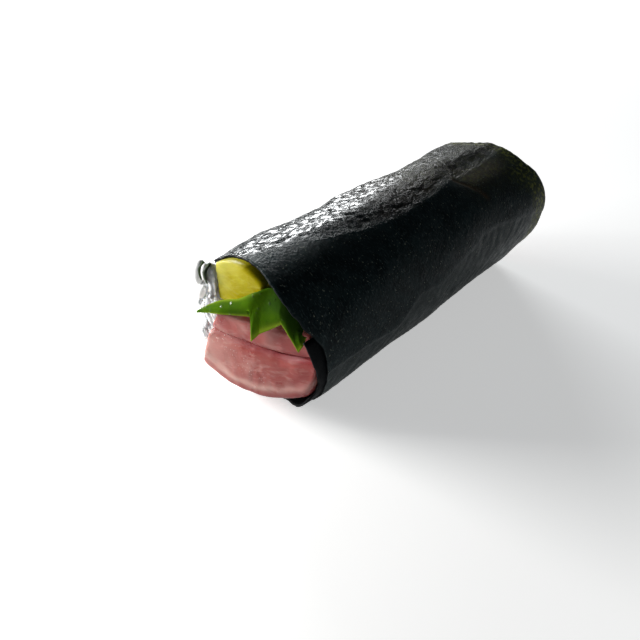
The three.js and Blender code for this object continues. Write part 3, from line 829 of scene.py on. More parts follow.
@dataclass
class NoriSheet:
    """The spiral sheet of nori, with its wrinkles, streaks and rims."""

    wrap: Wrapping = WRAPPING
    outer_columns: int = 256
    inner_columns: int = 34
    rows: int = 160
    hidden_turn: float = 132.0
    wrinkle: float = 0.75
    streak: float = 0.45
    grit: float = 0.10
    seed: int = 3
    rough_from: tuple = ((-8, 94), (5, 88), (14, 78), (25, 71), (34, 68), (46, 70), (60, 76), (96, 82))
    shine_from: tuple = ((-8, 93), (5, 89), (14, 86), (25, 91), (34, 96), (46, 102), (60, 108),
                         (96, 114))
    facet_below: tuple = ((-8, -3), (10, -4), (20, -7), (31, 8), (38, 5), (52, 13), (61, 21), (68, 21),
                          (80, 15), (96, 8))
    crease_line: tuple = ((25.5, 61), (22, 63.5), (18.5, 65.5), (16, 66.5))
    dent_line: tuple = ((24, 68), (24, 80))
    sheen_line: tuple = ((29.5, 73), (28.5, 86))
    rim_line: tuple = ((17, 86), (14, 93), (8, 93))

    def windings(self) -> Array:
        """Winding angles of the columns: sparse where the outer turn hides the sheet."""
        inner = np.linspace(0, self.hidden_turn, self.inner_columns, endpoint=False)
        return np.concatenate([inner, np.linspace(self.hidden_turn, self.wrap.winding,
                                                  self.outer_columns + 1)])

    def features(self, angle: Array, y: Array, winding: Array) -> dict[str, Array]:
        """Masks over the sheet, by direction (degrees) and y.

        Args:
            angle: Direction of every point.
            y: Place of every point along the roll.
            winding: Winding angle of every point.

        Returns:
            The masks by name, each from 0 to 1.
        """
        arc = angle * 0.35
        outside = smooth(winding, 139, 144)
        left = np.mod(angle + 90, 360) - 90
        rough = smooth(left - along(self.rough_from, y), -5, 5) * smooth(160 - left, -10, 20) * outside
        rough = rough * (1 - 0.4 * smooth(y, 50, 80))
        wet = rough * smooth(wrap(angle - along(self.shine_from, y)), -7, 7)
        wet = wet * (1 - 0.8 * smooth(y, 20, 62))
        crease = ridge(arc, y, self.crease_line, 0.8)
        dent = ridge(arc, y, self.dent_line, 6.5)
        sheen = ridge(arc, y, self.sheen_line, 2.2)
        facet = smooth(-wrap(angle - along(self.facet_below, y)), -1.5, 1.8) * smooth(angle, -75, -45)
        # painted light: mask of where light shines through the sheet at the crease and dent, plus
        # painted reflection over the crumpled top
        brown = np.clip(0.85 * crease + 0.35 * dent + 0.3 * rough * smooth(y, 15, 40), 0, 1)
        # painted light: the rim and green masks mark where light shines through the sheet, most of all
        # at the far rim
        rim = smooth(y, 86, 93) + 0.55 * ridge(arc, y, self.rim_line, 3.5)
        green = np.clip(1.6 * rim + 0.25 * dent + 0.22 * rough * smooth(y, 40, 56), 0, 1)
        # painted reflection: mask of the sheen band and the lower facet that mirror the bright floor
        # and surroundings
        grey = np.clip(0.7 * sheen + 0.62 * facet, 0, 1)
        return {"wet": np.clip(wet, 0, 1), "rough": np.clip(rough, 0, 1), "brown": brown * outside,
                "green": green * outside, "grey": grey * outside, "crease": crease * outside,
                "facet": facet * outside, "outside": outside}

    def build(self, material: Material, inside: Material) -> Object:
        """Winds the sheet and gives it its relief.

        Args:
            material: Finish of the sheet.
            inside: Finish of the inner turn.

        Returns:
            The finished piece.
        """
        windings = self.windings()
        rows = np.linspace(0, 1, self.rows)
        rows = rows + 0.09 * np.sin(2 * np.pi * rows) / (2 * np.pi)
        w, r = np.meshgrid(windings, rows, indexing="ij")
        edge = np.outer(windings * 0.36, (1, 0, 0))
        ragged = noise_at(edge, 0.5, 4.0) * 0.28
        ragged += noise_at(edge, 1.6, 9.0) * 0.12
        near = along(self.wrap.near_rim, w) + ragged[:, None] + 0.15
        far = along(self.wrap.far_rim, w) + np.roll(ragged, 31)[:, None] - 0.25
        y = lerp(near, far, r)
        angle = self.wrap.inner_edge - w
        masks = self.features(wrap(angle), y, w)
        outer = self.wrap.outer(angle, y) - self.wrap.depth(w) - 0.28 * masks["crease"]
        radians = np.radians(angle)
        out = np.stack([np.cos(radians), np.zeros_like(w), np.sin(radians)], -1)
        down = np.cos(np.radians(wrap(angle + 90)))
        touching = smooth(self.wrap.rest_height + 0.25 - outer * np.maximum(down, 0.0), 0.0, 0.3)
        points = [np.stack([(outer - depth) * out[..., 0], y, (outer - depth) * out[..., 2]], -1)
                  for depth in (0.0, self.wrap.thickness)]
        count = w.size
        obj = mesh_object("nori_sheet", np.concatenate([part.reshape(-1, 3) for part in points]),
                          self.faces(np.arange(count).reshape(w.shape)))
        for name in ("wet", "rough", "brown", "green", "grey", "facet", "outside"):
            float_attribute(obj, name, np.tile(masks[name].ravel(), 2))
        float_attribute(obj, "loose", np.tile((masks["outside"] * touching).ravel(), 2))
        sheet = np.stack([w * self.wrap.radius * math.pi / 180, y, np.zeros_like(y)], -1)
        for name, vectors in (("sheet", sheet), ("outward", out)):
            vector_attribute(obj, name, np.tile(vectors.reshape(-1, 3), (2, 1)))
        self.relief().apply(obj, Wrinkle=self.wrinkle * MM, Streak=self.streak * MM,
                            Grit=self.grit * MM, Seed=self.seed, Material=material)
        obj.data.materials.append(inside)
        turn = np.empty(2 * count, np.float32)
        obj.data.attributes["outside"].data.foreach_get("value", turn)
        for face in obj.data.polygons:
            sides = {v < count for v in face.vertices}
            face.material_index = int(turn[face.vertices[0]] < 0.5 or len(sides) == 2)
        return obj

    def faces(self, grid: Array) -> Array:
        """Faces of a closed sheet.

        Args:
            grid: Corner numbers of the outer side, by column and row; the inner side's follow them.

        Returns:
            Corner numbers of both sides and the four edges.
        """
        count = grid.size
        a, b = grid[:-1, :-1].ravel(), grid[1:, :-1].ravel()
        c, d = grid[1:, 1:].ravel(), grid[:-1, 1:].ravel()
        faces = [np.stack([a, b, c, d], 1), np.stack([a, d, c, b], 1) + count]
        for p, q, flip in ((grid[:-1, 0], grid[1:, 0], True), (grid[:-1, -1], grid[1:, -1], False),
                           (grid[0, :-1], grid[0, 1:], False), (grid[-1, :-1], grid[-1, 1:], True)):
            strip = np.stack([p, p + count, q + count, q], 1)
            faces.append(strip if flip else strip[:, ::-1])
        return np.concatenate(faces)

    def relief(self) -> GeometryTree:
        """Tree that presses wrinkles, streaks and grit into both faces of the sheet alike.

        Returns:
            The tree, with inputs Wrinkle, Streak and Grit in metres, Seed and Material.
        """
        g = GeometryTree("nori_relief", Wrinkle="Float", Streak="Float", Grit="Float", Seed="Int",
                         Material="Material")
        sheet, rough = g.named("sheet", "FLOAT_VECTOR"), g.named("rough")

        def waves(scale: Sequence[float], turn: float, fine: float) -> Socket:
            """Noise over the sheet.

            Args:
                scale: How much it is stretched.
                turn: How far it is turned, in degrees.
                fine: Its detail.

            Returns:
                Noise from 0 to 1.
            """
            spin = g.node("ShaderNodeVectorRotate", {"Vector": sheet, "Angle": math.radians(turn)},
                          rotation_type="Z_AXIS")
            sized = g.node("ShaderNodeVectorMath", {0: spin.outputs[0], 1: scale}, operation="MULTIPLY")
            return g.node("ShaderNodeTexNoise", {"Vector": sized.outputs[0], "W": g.given["Seed"],
                                                 "Scale": 1.0, "Detail": fine, "Distortion": 0.6},
                          noise_dimensions="4D", noise_type="FBM", normalize=True).outputs[0]

        def folds(scale: Sequence[float], turn: float, fine: float, height: float) -> Socket:
            """Sharp folds of a height where the sheet is rough."""
            sharp = g.maths("ABSOLUTE", g.maths("SUBTRACT", waves(scale, turn, fine), 0.5), 0)
            return g.maths("MULTIPLY", sharp, g.maths("MULTIPLY", rough, height))

        crumple = g.maths("ADD", folds((0.34, 0.20, 1), 12, 3.0, 2.6),
                          folds((0.85, 0.6, 1), -20, 2.0, 1.1))
        ribs = g.maths("MULTIPLY", waves((0.16, 0.75, 1), 38, 2.0),
                       g.maths("ADD", g.maths("MULTIPLY", g.named("facet"), 1.4), 0.35))
        total = g.maths("MULTIPLY", crumple, g.given["Wrinkle"])
        total = g.maths("ADD", total, g.maths("MULTIPLY", ribs, g.given["Streak"]))
        grit = waves((1.1, 1.1, 1), 0, 3.0)
        total = g.maths("ADD", total, g.maths("MULTIPLY", grit, g.given["Grit"]))
        total = g.maths("MULTIPLY", g.maths("MULTIPLY", total, g.named("loose")), -1.0)
        push = g.node("ShaderNodeVectorMath", {0: g.named("outward", "FLOAT_VECTOR"), 3: total},
                      operation="SCALE")
        moved = g.node("GeometryNodeSetPosition", {"Geometry": g.given["Geometry"],
                                                   "Offset": push.outputs[0]})
        g.finish(moved.outputs[0])
        return g


# -------------------------------------------------------------------------------------- the fillings


@dataclass
class Filling:
    """A long filling with one cross-section, its cut ends rounded; it gives way to the nori."""

    name: str
    section: Line
    near: Face
    far: Face = far_face
    round_edge: float = 1.0
    sides: int = 132
    spans: int = 60
    rings: int = 26
    margin: float = 0.4
    corner_share: float = 0.42
    corner_slope: float = 0.09
    relief: Callable[[Array], Array] | None = None

    def place(self, x: Array, z: Array, level: tuple, grown: float) -> Array:
        """Points of a level, kept inside the nori.

        Args:
            x: First coordinates.
            z: Second coordinates.
            level: Share from the near to the far face, and a step along Y.
            grown: How much larger the solid is all round.

        Returns:
            Points (N, 3).
        """
        y = lerp(self.near(x, z) - grown, self.far(x, z) + grown, level[0]) + level[1]
        limit = WRAPPING.room(np.degrees(np.arctan2(z, x)), y, self.margin - grown)
        shrink = np.minimum(1.0, limit / np.maximum(np.hypot(x, z), 1e-6))
        return np.stack([x * shrink, y, z * shrink], -1)

    def build(self, grown: float = 0.0) -> Object:
        """Builds the closed solid.

        Args:
            grown: How much larger the copy is all round, to cut room in a neighbour.

        Returns:
            The object, without a finish.
        """
        n = self.sides
        ring = closed_curve(self.section, n)
        centre = ring.mean(axis=0)
        run = np.roll(ring, -1, axis=0) - np.roll(ring, 1, axis=0)
        outward = np.stack([run[:, 1], -run[:, 0]], 1)
        outward /= np.linalg.norm(outward, axis=1)[:, None]
        bend = np.linalg.norm(np.roll(outward, -1, axis=0) - np.roll(outward, 1, axis=0), axis=1)
        bend /= np.linalg.norm(run, axis=1)
        reach = np.minimum(self.round_edge, self.corner_share / np.maximum(bend, 1e-3))
        reach = np.min([np.roll(reach, k) + self.corner_slope * abs(k) for k in range(-14, 15)], axis=0)
        arc = np.array([0, 0.08, 0.2, 0.4, 0.65, 1.0])
        steps = arc * self.round_edge
        inset = 1 - np.sqrt(np.clip(1 - (1 - arc) ** 2, 0, 1))
        levels = [(0.0, s, i) for s, i in zip(steps, inset)]
        levels += [(k / self.spans, 0.0, 0.0) for k in range(1, self.spans)]
        levels += [(1.0, -s, i) for s, i in zip(steps[::-1], inset[::-1])]
        points, faces, caps = [], [], []
        for level in levels:
            line = ring + (grown - level[2] * reach)[:, None] * outward
            points.append(self.place(line[:, 0], line[:, 1], level, grown))
        step = np.arange(n)
        after = (step + 1) % n
        last = len(levels) - 1
        for low in range(0, last * n, n):
            faces.append(np.stack([low + step, low + n + step, low + n + after, low + after], 1))
        for number, way in ((0, 1), (last, -1)):
            edge, previous = points[number], number * n
            for share in np.linspace(1, 0, self.rings + 1)[1:-1]:
                total = sum(map(len, points))
                points.append(self.place(lerp(centre[0], edge[:, 0], share),
                                         lerp(centre[1], edge[:, 2], share), levels[number], grown))
                quad = [previous + step, previous + after, total + after, total + step]
                faces.append(np.stack(quad[::way], 1))
                previous = total
            middle = np.full(n, sum(map(len, points)))
            points.append(self.place(centre[:1], centre[1:], levels[number], grown))
            caps.append(np.stack([previous + step, previous + after, middle][::way], 1))
        corners = np.concatenate(points)
        if self.relief is not None and grown == 0.0:
            corners = self.relief(corners)
        return mesh_object(self.name, corners, [tuple(f) for block in faces + caps for f in block])


RADISH_SECTION = ((-9.8, 6), (-2, 6.6), (5.2, 8.4), (6.3, 12.5), (5.6, 16.8), (0.3, 19.2), (-5, 18.8),
                  (-9.4, 16.3), (-10.1, 11))
UPPER_FISH_SECTION = ((-10.1, -1.6), (0, -1), (9, 0), (18.6, 2.8), (18, 5.6), (16.6, 8.4), (9, 6.8),
                      (0, 5.4), (-7.6, 4.7), (-9.3, 1.8))
FISH_SEAM = ((19.6, -2), (19, 2.3), (9, -0.35), (0, -1.35), (-8.4, -1.8), (-11.3, -2.5), (-12.7, -6.2))
LOWER_FISH_SECTION = ((-13.9, -13.1), (-9, -15.3), (-1.4, -15.9), (5.7, -14.7), (12, -11.9),
                      (17.5, -7.9), *FISH_SEAM)
LOWER_FISH_ROOM = ((-13.6, -12.4), (-9, -15.3), (-1.4, -16.6), (6, -17.4), (13, -15.5), (19.5, -10.5),
                   *FISH_SEAM)


def near_end(points: Array, face: Face, depth: float) -> Array:
    """Mask of the points within a depth of a filling's near face."""
    return 1 - smooth(points[:, 1] - face(points[:, 0], points[:, 2]), depth * 0.3, depth)


@dataclass
class Fish:
    """Two slabs of raw fish, one on the other."""

    crease: tuple = ((-13, -1.2), (-7, -1.9), (0, -1.3), (9, -0.4), (19, 2.4))
    fat_line: tuple = ((-12.5, -9.5), (-9, -11.6), (-3, -12.6), (3, -12.2), (10, -9.9), (16, -6.4),
                       (19, -3.4))

    def relief(self, points: Array) -> Array:
        """Presses shallow waves into a slab's ends and sides.

        Args:
            points: Corners (N, 3) of a slab.

        Returns:
            The moved corners.
        """
        wide = noise_at(points, 0.16, 2.0)
        small = noise_at(points, 0.55, 5.0)
        crease = ridge(points[:, 0], points[:, 2], self.crease, 1.6)
        line = ridge(points[:, 0], points[:, 2], self.fat_line, 0.8)
        moved = points.copy()
        moved[:, 1] += near_end(points, fish_face, 2.0) * (0.22 + 0.3 * wide + 0.1 * small
                                                           + 0.75 * crease - 0.12 * line)
        return moved

    def dress(self, obj: Object, material: Material) -> None:
        """Gives a slab its fat, deep and wet masks and its finish.

        Args:
            obj: The slab.
            material: Its finish.
        """
        points = roll_corners(obj)
        x, z = points[:, 0], points[:, 2]
        wander = 0.5 * noise_at(points, 0.3, 7.0)
        line = ridge(x, z + wander, self.fat_line, 1.0)
        below = ridge(x, z + wander, tuple((a, b - 2.2) for a, b in self.fat_line), 1.0)
        crease = ridge(x, z, self.crease, 0.9)
        pale = 0.35 * smooth(noise_at(points, 0.22, 12.0), 0.0, 0.6)
        # painted light: paler towards the lower left, where the light falls
        pale = pale + 0.5 * smooth(-x, -2, 12) * smooth(-z, -2, 3)
        # painted shade: darker in the crease, in a strip under the pale connective line, towards the
        # right and on the upper slab
        deep = (crease * (0.3 + 0.5 * smooth(x, -8, 4)) + 0.35 * below + 0.3 * smooth(x, 2, 18)
                + 0.2 * smooth(z, -3, 1))
        # wet spots carry real drops and coat, and the painted glints of their dots
        spots = ridge(x, z, ((-10, 3.5), (-8, 3.5)), 1.6) + ridge(x, z, ((-12, -3), (-6, -2)), 1.8)
        spots += 0.6 * ridge(x, z, ((-4, -5), (5, -9)), 2.2)
        float_attribute(obj, "fat", np.clip(0.85 * line + pale * (1 - crease), 0, 1))
        float_attribute(obj, "deep", np.clip(deep, 0, 1))
        float_attribute(obj, "wet", np.clip(spots, 0, 1) * near_end(points, fish_face, 3.0))
        obj.data.materials.append(material)

    def slab(self, name: str, section: Line, edge: float, material: Material) -> Object:
        """Builds one slab.

        Args:
            name: Name of the piece.
            section: Its cross-section.
            edge: Radius of its rounded ends.
            material: Its finish.

        Returns:
            The finished piece.
        """
        obj = Filling(name, section, fish_face, round_edge=edge, relief=self.relief).build()
        self.dress(obj, material)
        return obj


@dataclass
class Radish:
    """The stick of yellow pickled radish."""

    def filling(self) -> Filling:
        """The radish's shape."""
        return Filling("radish_stick", RADISH_SECTION, radish_face, margin=0.45, relief=self.relief)

    def relief(self, points: Array) -> Array:
        """Presses fine cross lines into the near end.

        Args:
            points: Corners (N, 3) of the stick.

        Returns:
            The moved corners.
        """
        moved = points.copy()
        lines = noise_at(points * np.array([0.16, 0.3, 1.0]), 1.1, 3.0)
        wide = noise_at(points, 0.2, 8.0)
        moved[:, 1] += near_end(points, radish_face, 1.5) * (0.2 + 0.1 * lines + 0.2 * wide)
        return moved

    def build(self, material: Material) -> Object:
        """Builds the stick, with its masks.

        Args:
            material: Its finish.

        Returns:
            The finished piece.
        """
        obj = self.filling().build()
        x, _, z = roll_corners(obj).T
        # painted light and sheen: paler towards the upper left and along the top edge
        pale = 0.7 * smooth(-x, 4, 9.5) * smooth(z, 8, 14)
        pale = pale + 0.5 * smooth(z, 14, 18.5) * smooth(-x, -1, 6)
        float_attribute(obj, "pale", np.clip(pale, 0, 1))
        float_attribute(obj, "gold", np.clip(0.75 * smooth(x * 0.8 - z, -10.5, -3), 0, 1))
        obj.data.materials.append(material)
        return obj


# ----------------------------------------------------------------------------------------- the leaf


@dataclass
class ShisoLeaf:
    """The shiso leaf: toothed front over the fillings' ends, then a strip inside the roll."""

    thickness: float = 0.34
    cad_thickness: float = 0.4
    rows: int = 22
    steps: int = 10
    strip_steps: int = 56
    top: tuple = ((-14.9, -12.5, 1.7), (-10.1, -11.5, 5.6), (-6, -10.8, 8.6), (0.2, -9.9, 11.9),
                  (5.4, -9, 15.9))
    margin: tuple = ((-14.8, -12.5, 1.2, 0), (-9.8, -12.2, 3.9, 0.12), (-4.5, -12, 6.2, 0.24),
                     (4.3, -10.1, 9.4, 0.4), (3.7, -10.3, 4.8, 0.46), (4, -10.7, 2.7, 0.48),
                     (6, -9.7, 5.5, 0.52), (9.2, -9, 8.3, 0.6), (12.2, -8.6, 11.1, 0.7),
                     (13.9, -8.4, 8.8, 0.79), (15.9, -7.6, 5.1, 0.87), (16.9, -7.2, 7.2, 0.93),
                     (16.9, -6, 9, 1))
    entry: tuple = ((64, -7.2), (57, -7.2), (49, -7.1), (40, -6.3), (33, -5.6))
    strip_y: tuple = (89, 84, 78, 73, 68, 62, 56, 46, 30, 12, 0, -5.5)

    def wall(self, angle: Array, y: Array) -> Array:
        """Points on the inside of the wrapping where the leaf lies against it."""
        radius = WRAPPING.room(angle, y, WRAPPING.clearance + 0.15 + self.cad_thickness / 2)
        return np.stack([radius * np.cos(np.radians(angle)), y + 0 * radius,
                         radius * np.sin(np.radians(angle))], -1)

    def upper_curve(self) -> Callable[[float], Array]:
        """The smooth curve of the upper edge.

        Returns:
            Function that gives the point at a share of the curve.
        """
        entry = [self.wall(np.array(a, float), np.array(y, float)) for a, y in self.entry]
        table = np.array([*map(np.array, self.top), *entry])
        ends = np.vstack([2 * table[0] - table[1], table, 2 * table[-1] - table[-2]])

        def at(share: float) -> Array:
            """Point of the curve.

            Args:
                share: Share of the curve.

            Returns:
                The point.
            """
            place = share * (len(table) - 1)
            i = min(int(place), len(table) - 2)
            p0, p1, p2, p3 = ends[i:i + 4]
            d0, d1, d2 = (max(np.linalg.norm(b - a), 1e-4) ** 0.5
                          for a, b in ((p0, p1), (p1, p2), (p2, p3)))
            m1 = ((p1 - p0) / d0 - (p2 - p0) / (d0 + d1) + (p2 - p1) / d1) * d1
            m2 = ((p2 - p1) / d1 - (p3 - p1) / (d1 + d2) + (p3 - p2) / d2) * d1
            return hermite(place - i, p1, p2, m1, m2)

        return at

    def build(self, material: Material) -> Object:
        """Builds the leaf, with its masks.

        Args:
            material: Its finish.

        Returns:
            The finished piece.
        """
        at = self.upper_curve()
        wall_share = len(self.top) / (len(self.top) + len(self.entry) - 1)
        hangers = [np.array(self.margin[0], float)]
        for start, end in zip(self.margin[:-1], self.margin[1:]):
            a, b = np.array(start, float), np.array(end, float)
            hangers += [lerp(a, b, t) for t in np.linspace(0, 1, self.steps + 1)[1:]]
        strip = np.interp(np.linspace(0, 1, self.strip_steps), np.linspace(0, 1, len(self.strip_y)),
                          self.strip_y)
        points, rim, shade, columns = [], [], [], []
        for x, y, z, share in hangers:
            top, low = at(share), np.array([x, y, z])
            first = len(points)
            if share > wall_share:
                points.extend(self.wall(np.degrees(np.arctan2(top[2], top[0])), strip))
                rim += [0.0] * len(strip)
                shade += [0.5] * len(strip)
            for v in np.arange(self.rows + 1) / self.rows:
                bulge = 0.7 * math.sin(math.pi * v) + 0.2 * v * math.sin(14 * share)
                points.append(lerp(top, low, v) - np.array([0, bulge * min(1, 4 * share), 0]))
                # painted light: lighter along the top edge of the left part and along the toothed edge
                rim.append(float(0.8 * np.exp(-((v / 0.10) ** 2)) * (1 - smooth(share, 0.3, 0.5))
                                 + 0.9 * np.exp(-(((1 - v) / 0.13) ** 2))))
                shade.append(float(0.6 * smooth(share, 0.47, 0.62) * (1 - smooth(v, 0.3, 0.75))))
            columns.append(range(first, len(points))[::-1])
        faces = [(back[r], back[r + 1], fore[r + 1], fore[r])
                 for back, fore in zip(columns[:-1], columns[1:])
                 for r in range(min(len(back), len(fore)) - 1)]
        obj = self.thicken(np.array(points), faces)
        for name, values in (("rim", rim), ("shade", shade)):
            float_attribute(obj, name, np.tile(np.array(values), 2))
        obj.data.materials.append(material)
        return obj

    def thicken(self, corners: Array, faces: Sequence[Sequence[int]]) -> Object:
        """Closed leaf of a thickness from a sheet of points and four-cornered faces.

        Args:
            corners: Points (N, 3) of the sheet.
            faces: Corner numbers of its faces.

        Returns:
            The leaf's object.
        """
        quads = np.array(faces)
        cross = np.cross(corners[quads[:, 2]] - corners[quads[:, 0]],
                         corners[quads[:, 3]] - corners[quads[:, 1]])
        normals = np.zeros_like(corners)
        for k in range(4):
            np.add.at(normals, quads[:, k], cross)
        normals /= np.maximum(np.linalg.norm(normals, axis=1), 1e-9)[:, None]
        count = len(corners)
        both = np.concatenate([corners + normals * self.thickness / 2,
                               corners - normals * self.thickness / 2])
        edges: dict[tuple, None] = {}
        for face in faces:
            for p, q in zip(face, (*face[1:], face[0])):
                if (q, p) in edges:
                    del edges[(q, p)]
                else:
                    edges[(p, q)] = None
        closed = [tuple(f) for f in faces] + [tuple(i + count for i in f[::-1]) for f in faces]
        closed += [(p, p + count, q + count, q) for p, q in edges]
        return mesh_object("shiso_front", both, closed)


# ----------------------------------------------------------------------------------------- the rice


@dataclass
class Rice:
    """The rice: a core that fills the roll round the other fillings, and grains at both cut faces."""

    grain_length: float = 5.6
    grain_width: float = 2.35
    grain_rings: int = 9
    grain_sides: int = 12
    core_radius: float = 24.5
    room_gap: float = 0.3
    cell: float = 0.8
    spacing: float = 1.75
    tilt: float = 0.25
    seed: int = 11
    loose: tuple = ((-15.4, 11.4, 74, 1.3), (-12.7, 12.6, 80, 0.85), (-15.3, 6.2, 60, 1.0))
    shreds: tuple = (((-14.2, 10.2), (-13.0, 15.0), 1.6), ((-11.8, 10.2), (-10.9, 15.4), 1.5))
    sections: list = field(default_factory=lambda: [
        closed_curve(s, 90) for s in (RADISH_SECTION, UPPER_FISH_SECTION, LOWER_FISH_ROOM)])

    def grain(self) -> Object:
        """Builds one plump, slightly bent grain.

        Returns:
            The grain, along X and centred on the origin.
        """
        sides = self.grain_sides
        points, faces = [], []
        for t in np.arange(self.grain_rings + 1) / self.grain_rings:
            place = -0.5 * math.cos(math.pi * t)
            girth = 0.5 * (math.sin(math.pi * t) ** 0.62) * self.grain_width
            for turn in 2 * math.pi * np.arange(sides) / sides:
                points.append((place * self.grain_length, girth * math.cos(turn),
                               girth * 0.86 * math.sin(turn) - 1.12 * place**2))
        for low in range(0, self.grain_rings * sides, sides):
            for s in range(sides):
                n = (s + 1) % sides
                faces.append((low + s, low + n, low + sides + n, low + sides + s))
        mesh = bpy.data.meshes.new("rice_grain")
        mesh.from_pydata([tuple(c * MM for c in p) for p in points], [], faces)
        shape = bmesh.new()
        shape.from_mesh(mesh)
        bmesh.ops.remove_doubles(shape, verts=shape.verts, dist=1e-6)
        bmesh.ops.recalc_face_normals(shape, faces=shape.faces)
        shape.to_mesh(mesh)
        shape.free()
        obj = bpy.data.objects.new("rice_grain", mesh)
        bpy.context.collection.objects.link(obj)
        return obj

    def core(self, material: Material, cutters: Sequence[Filling]) -> Object:
        """The core.

        Args:
            material: Its finish.
            cutters: The other fillings, for which room is cut.

        Returns:
            The finished piece.
        """
        circle = [(self.core_radius * math.cos(i * math.pi / 6),
                   self.core_radius * math.sin(i * math.pi / 6)) for i in range(12)]
        obj = Filling("rice_core", circle, lambda x, z: rice_face(x, z) - 0.1,
                      lambda x, z: far_face(x, z) - 0.5, round_edge=0.8, sides=96, spans=24, rings=22,
                      margin=0.45).build()
        for cutter in cutters:
            tool = cutter.build(self.room_gap)
            cut = obj.modifiers.new("room", "BOOLEAN")
            cut.operation = "DIFFERENCE"
            cut.solver = "MANIFOLD"
            cut.object = tool
            evaluated_mesh(obj)
            bpy.data.objects.remove(tool, do_unlink=True)
        obj.data.materials.clear()
        obj.data.materials.append(material)
        return obj

    def trimmings(self, layer: Object, grain: Object, shred: Material) -> Object:
        """Adds the loose grains of the near end, and the shreds of nori between them, to its layer.

        Args:
            layer: The near layer of grains.
            grain: One grain.
            shred: Finish of the shreds.

        Returns:
            The layer.
        """
        parts = [layer]
        for x, z, tilt, scale in self.loose:
            corners = np.array([v.co for v in grain.data.vertices]) / MM * scale
            turn = np.array(Euler((0.2, -math.radians(tilt), 0.1)).to_matrix())
            place = np.array([x, face_y(rice_face, x, z) - 0.35, z])
            parts.append(mesh_object("grain", corners @ turn.T + place,
                                     [tuple(f.vertices) for f in grain.data.polygons]))
            parts[-1].data.materials.append(layer.data.materials[0])
        for low, high, width in self.shreds:
            points, faces, cuts = [], [], 9
            for t in np.arange(cuts + 1) / cuts:
                x, z = lerp(low[0], high[0], t) - 0.5 * math.sin(math.pi * t), lerp(low[1], high[1], t)
                y = face_y(rice_face, x, z) - 0.9 - 0.3 * math.sin(math.pi * t)
                half = width / 2 * (0.35 + 0.65 * math.sin(math.pi * (0.1 + 0.8 * t)))
                points += [(x - half, y, z), (x + half, y - 0.2, z), (x + half, y + 0.1, z),
                           (x - half, y + 0.3, z)]
            for a in range(0, 4 * cuts, 4):
                faces += [(a + i, a + (i + 1) % 4, a + 4 + (i + 1) % 4, a + 4 + i) for i in range(4)]
            faces += [(3, 2, 1, 0), tuple(4 * cuts + i for i in range(4))]
            parts.append(mesh_object("shred", np.array(points), faces))
            parts[-1].data.materials.append(shred)
        with bpy.context.temp_override(active_object=layer, selected_editable_objects=parts):
            bpy.ops.object.join()
        return layer

    def patch(self, name: str, face: Face, sink: float, end: float) -> Object:
        """Flat patch of small cells over a cut face of the rice, for the grains to lie on.

        Args:
            name: Name of the patch.
            face: y of the cut face.
            sink: How far the patch lies beyond the face, along Y.
            end: y near which the nori's room is measured.

        Returns:
            The patch, whose faces look away from the roll.
        """
        size = self.cell
        ticks = np.arange(-21, 21, size)
        points, faces = [], []
        for x in ticks:
            for z in ticks:
                mx, mz = x + size / 2, z + size / 2
                limit = float(WRAPPING.room(math.degrees(math.atan2(mz, mx)), end, 1.5))
                if end < 0 and mx < -8 and mz > -10:
                    limit += 1.3
                if math.hypot(mx, mz) > limit or any(within(s, mx, mz, 0.9) for s in self.sections):
                    continue
                base = len(points)
                for px, pz in ((x, z), (x + size, z), (x + size, z + size), (x, z + size)):
                    points.append((px, face_y(face, px, pz) + sink, pz))
                faces.append((base, base + 1, base + 2, base + 3))
        return mesh_object(name, np.array(points), faces)

    def scatter(self) -> GeometryTree:
        """Tree that lays grains over a patch.

        Returns:
            The tree, with inputs Grain, Spacing in metres, Seed, Tilt in radians and Material.
        """
        g = GeometryTree("rice_scatter", Grain="Object", Spacing="Float", Seed="Int", Tilt="Float",
                         Material="Material")
        spread = g.node("GeometryNodeDistributePointsOnFaces", {
            "Mesh": g.given["Geometry"], "Distance Min": g.given["Spacing"],
            "Density Max": 900000.0, "Seed": g.given["Seed"]}, distribute_method="POISSON")
        source = g.node("GeometryNodeObjectInfo", {"Object": g.given["Grain"]})
        tilt = g.given["Tilt"]
        negative = g.maths("MULTIPLY", tilt, -1.0)
        low = g.node("ShaderNodeCombineXYZ", {0: negative, 1: -0.75, 2: negative})
        high = g.node("ShaderNodeCombineXYZ", {0: tilt, 1: 0.75, 2: tilt})
        turn = g.node("FunctionNodeRandomValue", {0: low.outputs[0], 1: high.outputs[0],
                                                  "Seed": g.given["Seed"]}, data_type="FLOAT_VECTOR")
        seat = g.node("ShaderNodeSeparateXYZ", {0: g.node("GeometryNodeInputPosition").outputs[0]})
        around = g.maths("ARCTAN2", *(g.maths("SUBTRACT", seat.outputs[k], float(ROLL_ORIGIN[k]) * MM)
                                      for k in (2, 0)))
        spin = g.maths("SUBTRACT", g.maths("MULTIPLY", around, -1.0), math.pi / 2)
        facing = g.node("ShaderNodeCombineXYZ", {1: spin})
        turn = g.node("ShaderNodeVectorMath", {0: turn.outputs[0], 1: facing.outputs[0]},
                      operation="ADD")
        scale = g.node("FunctionNodeRandomValue", {2: 0.84, 3: 1.1, "Seed": 5}, data_type="FLOAT")
        laid = g.node("GeometryNodeInstanceOnPoints", {
            "Points": spread.outputs["Points"], "Instance": source.outputs["Geometry"],
            "Rotation": turn.outputs[0], "Scale": scale.outputs[1]})
        g.finish(laid.outputs[0])
        return g

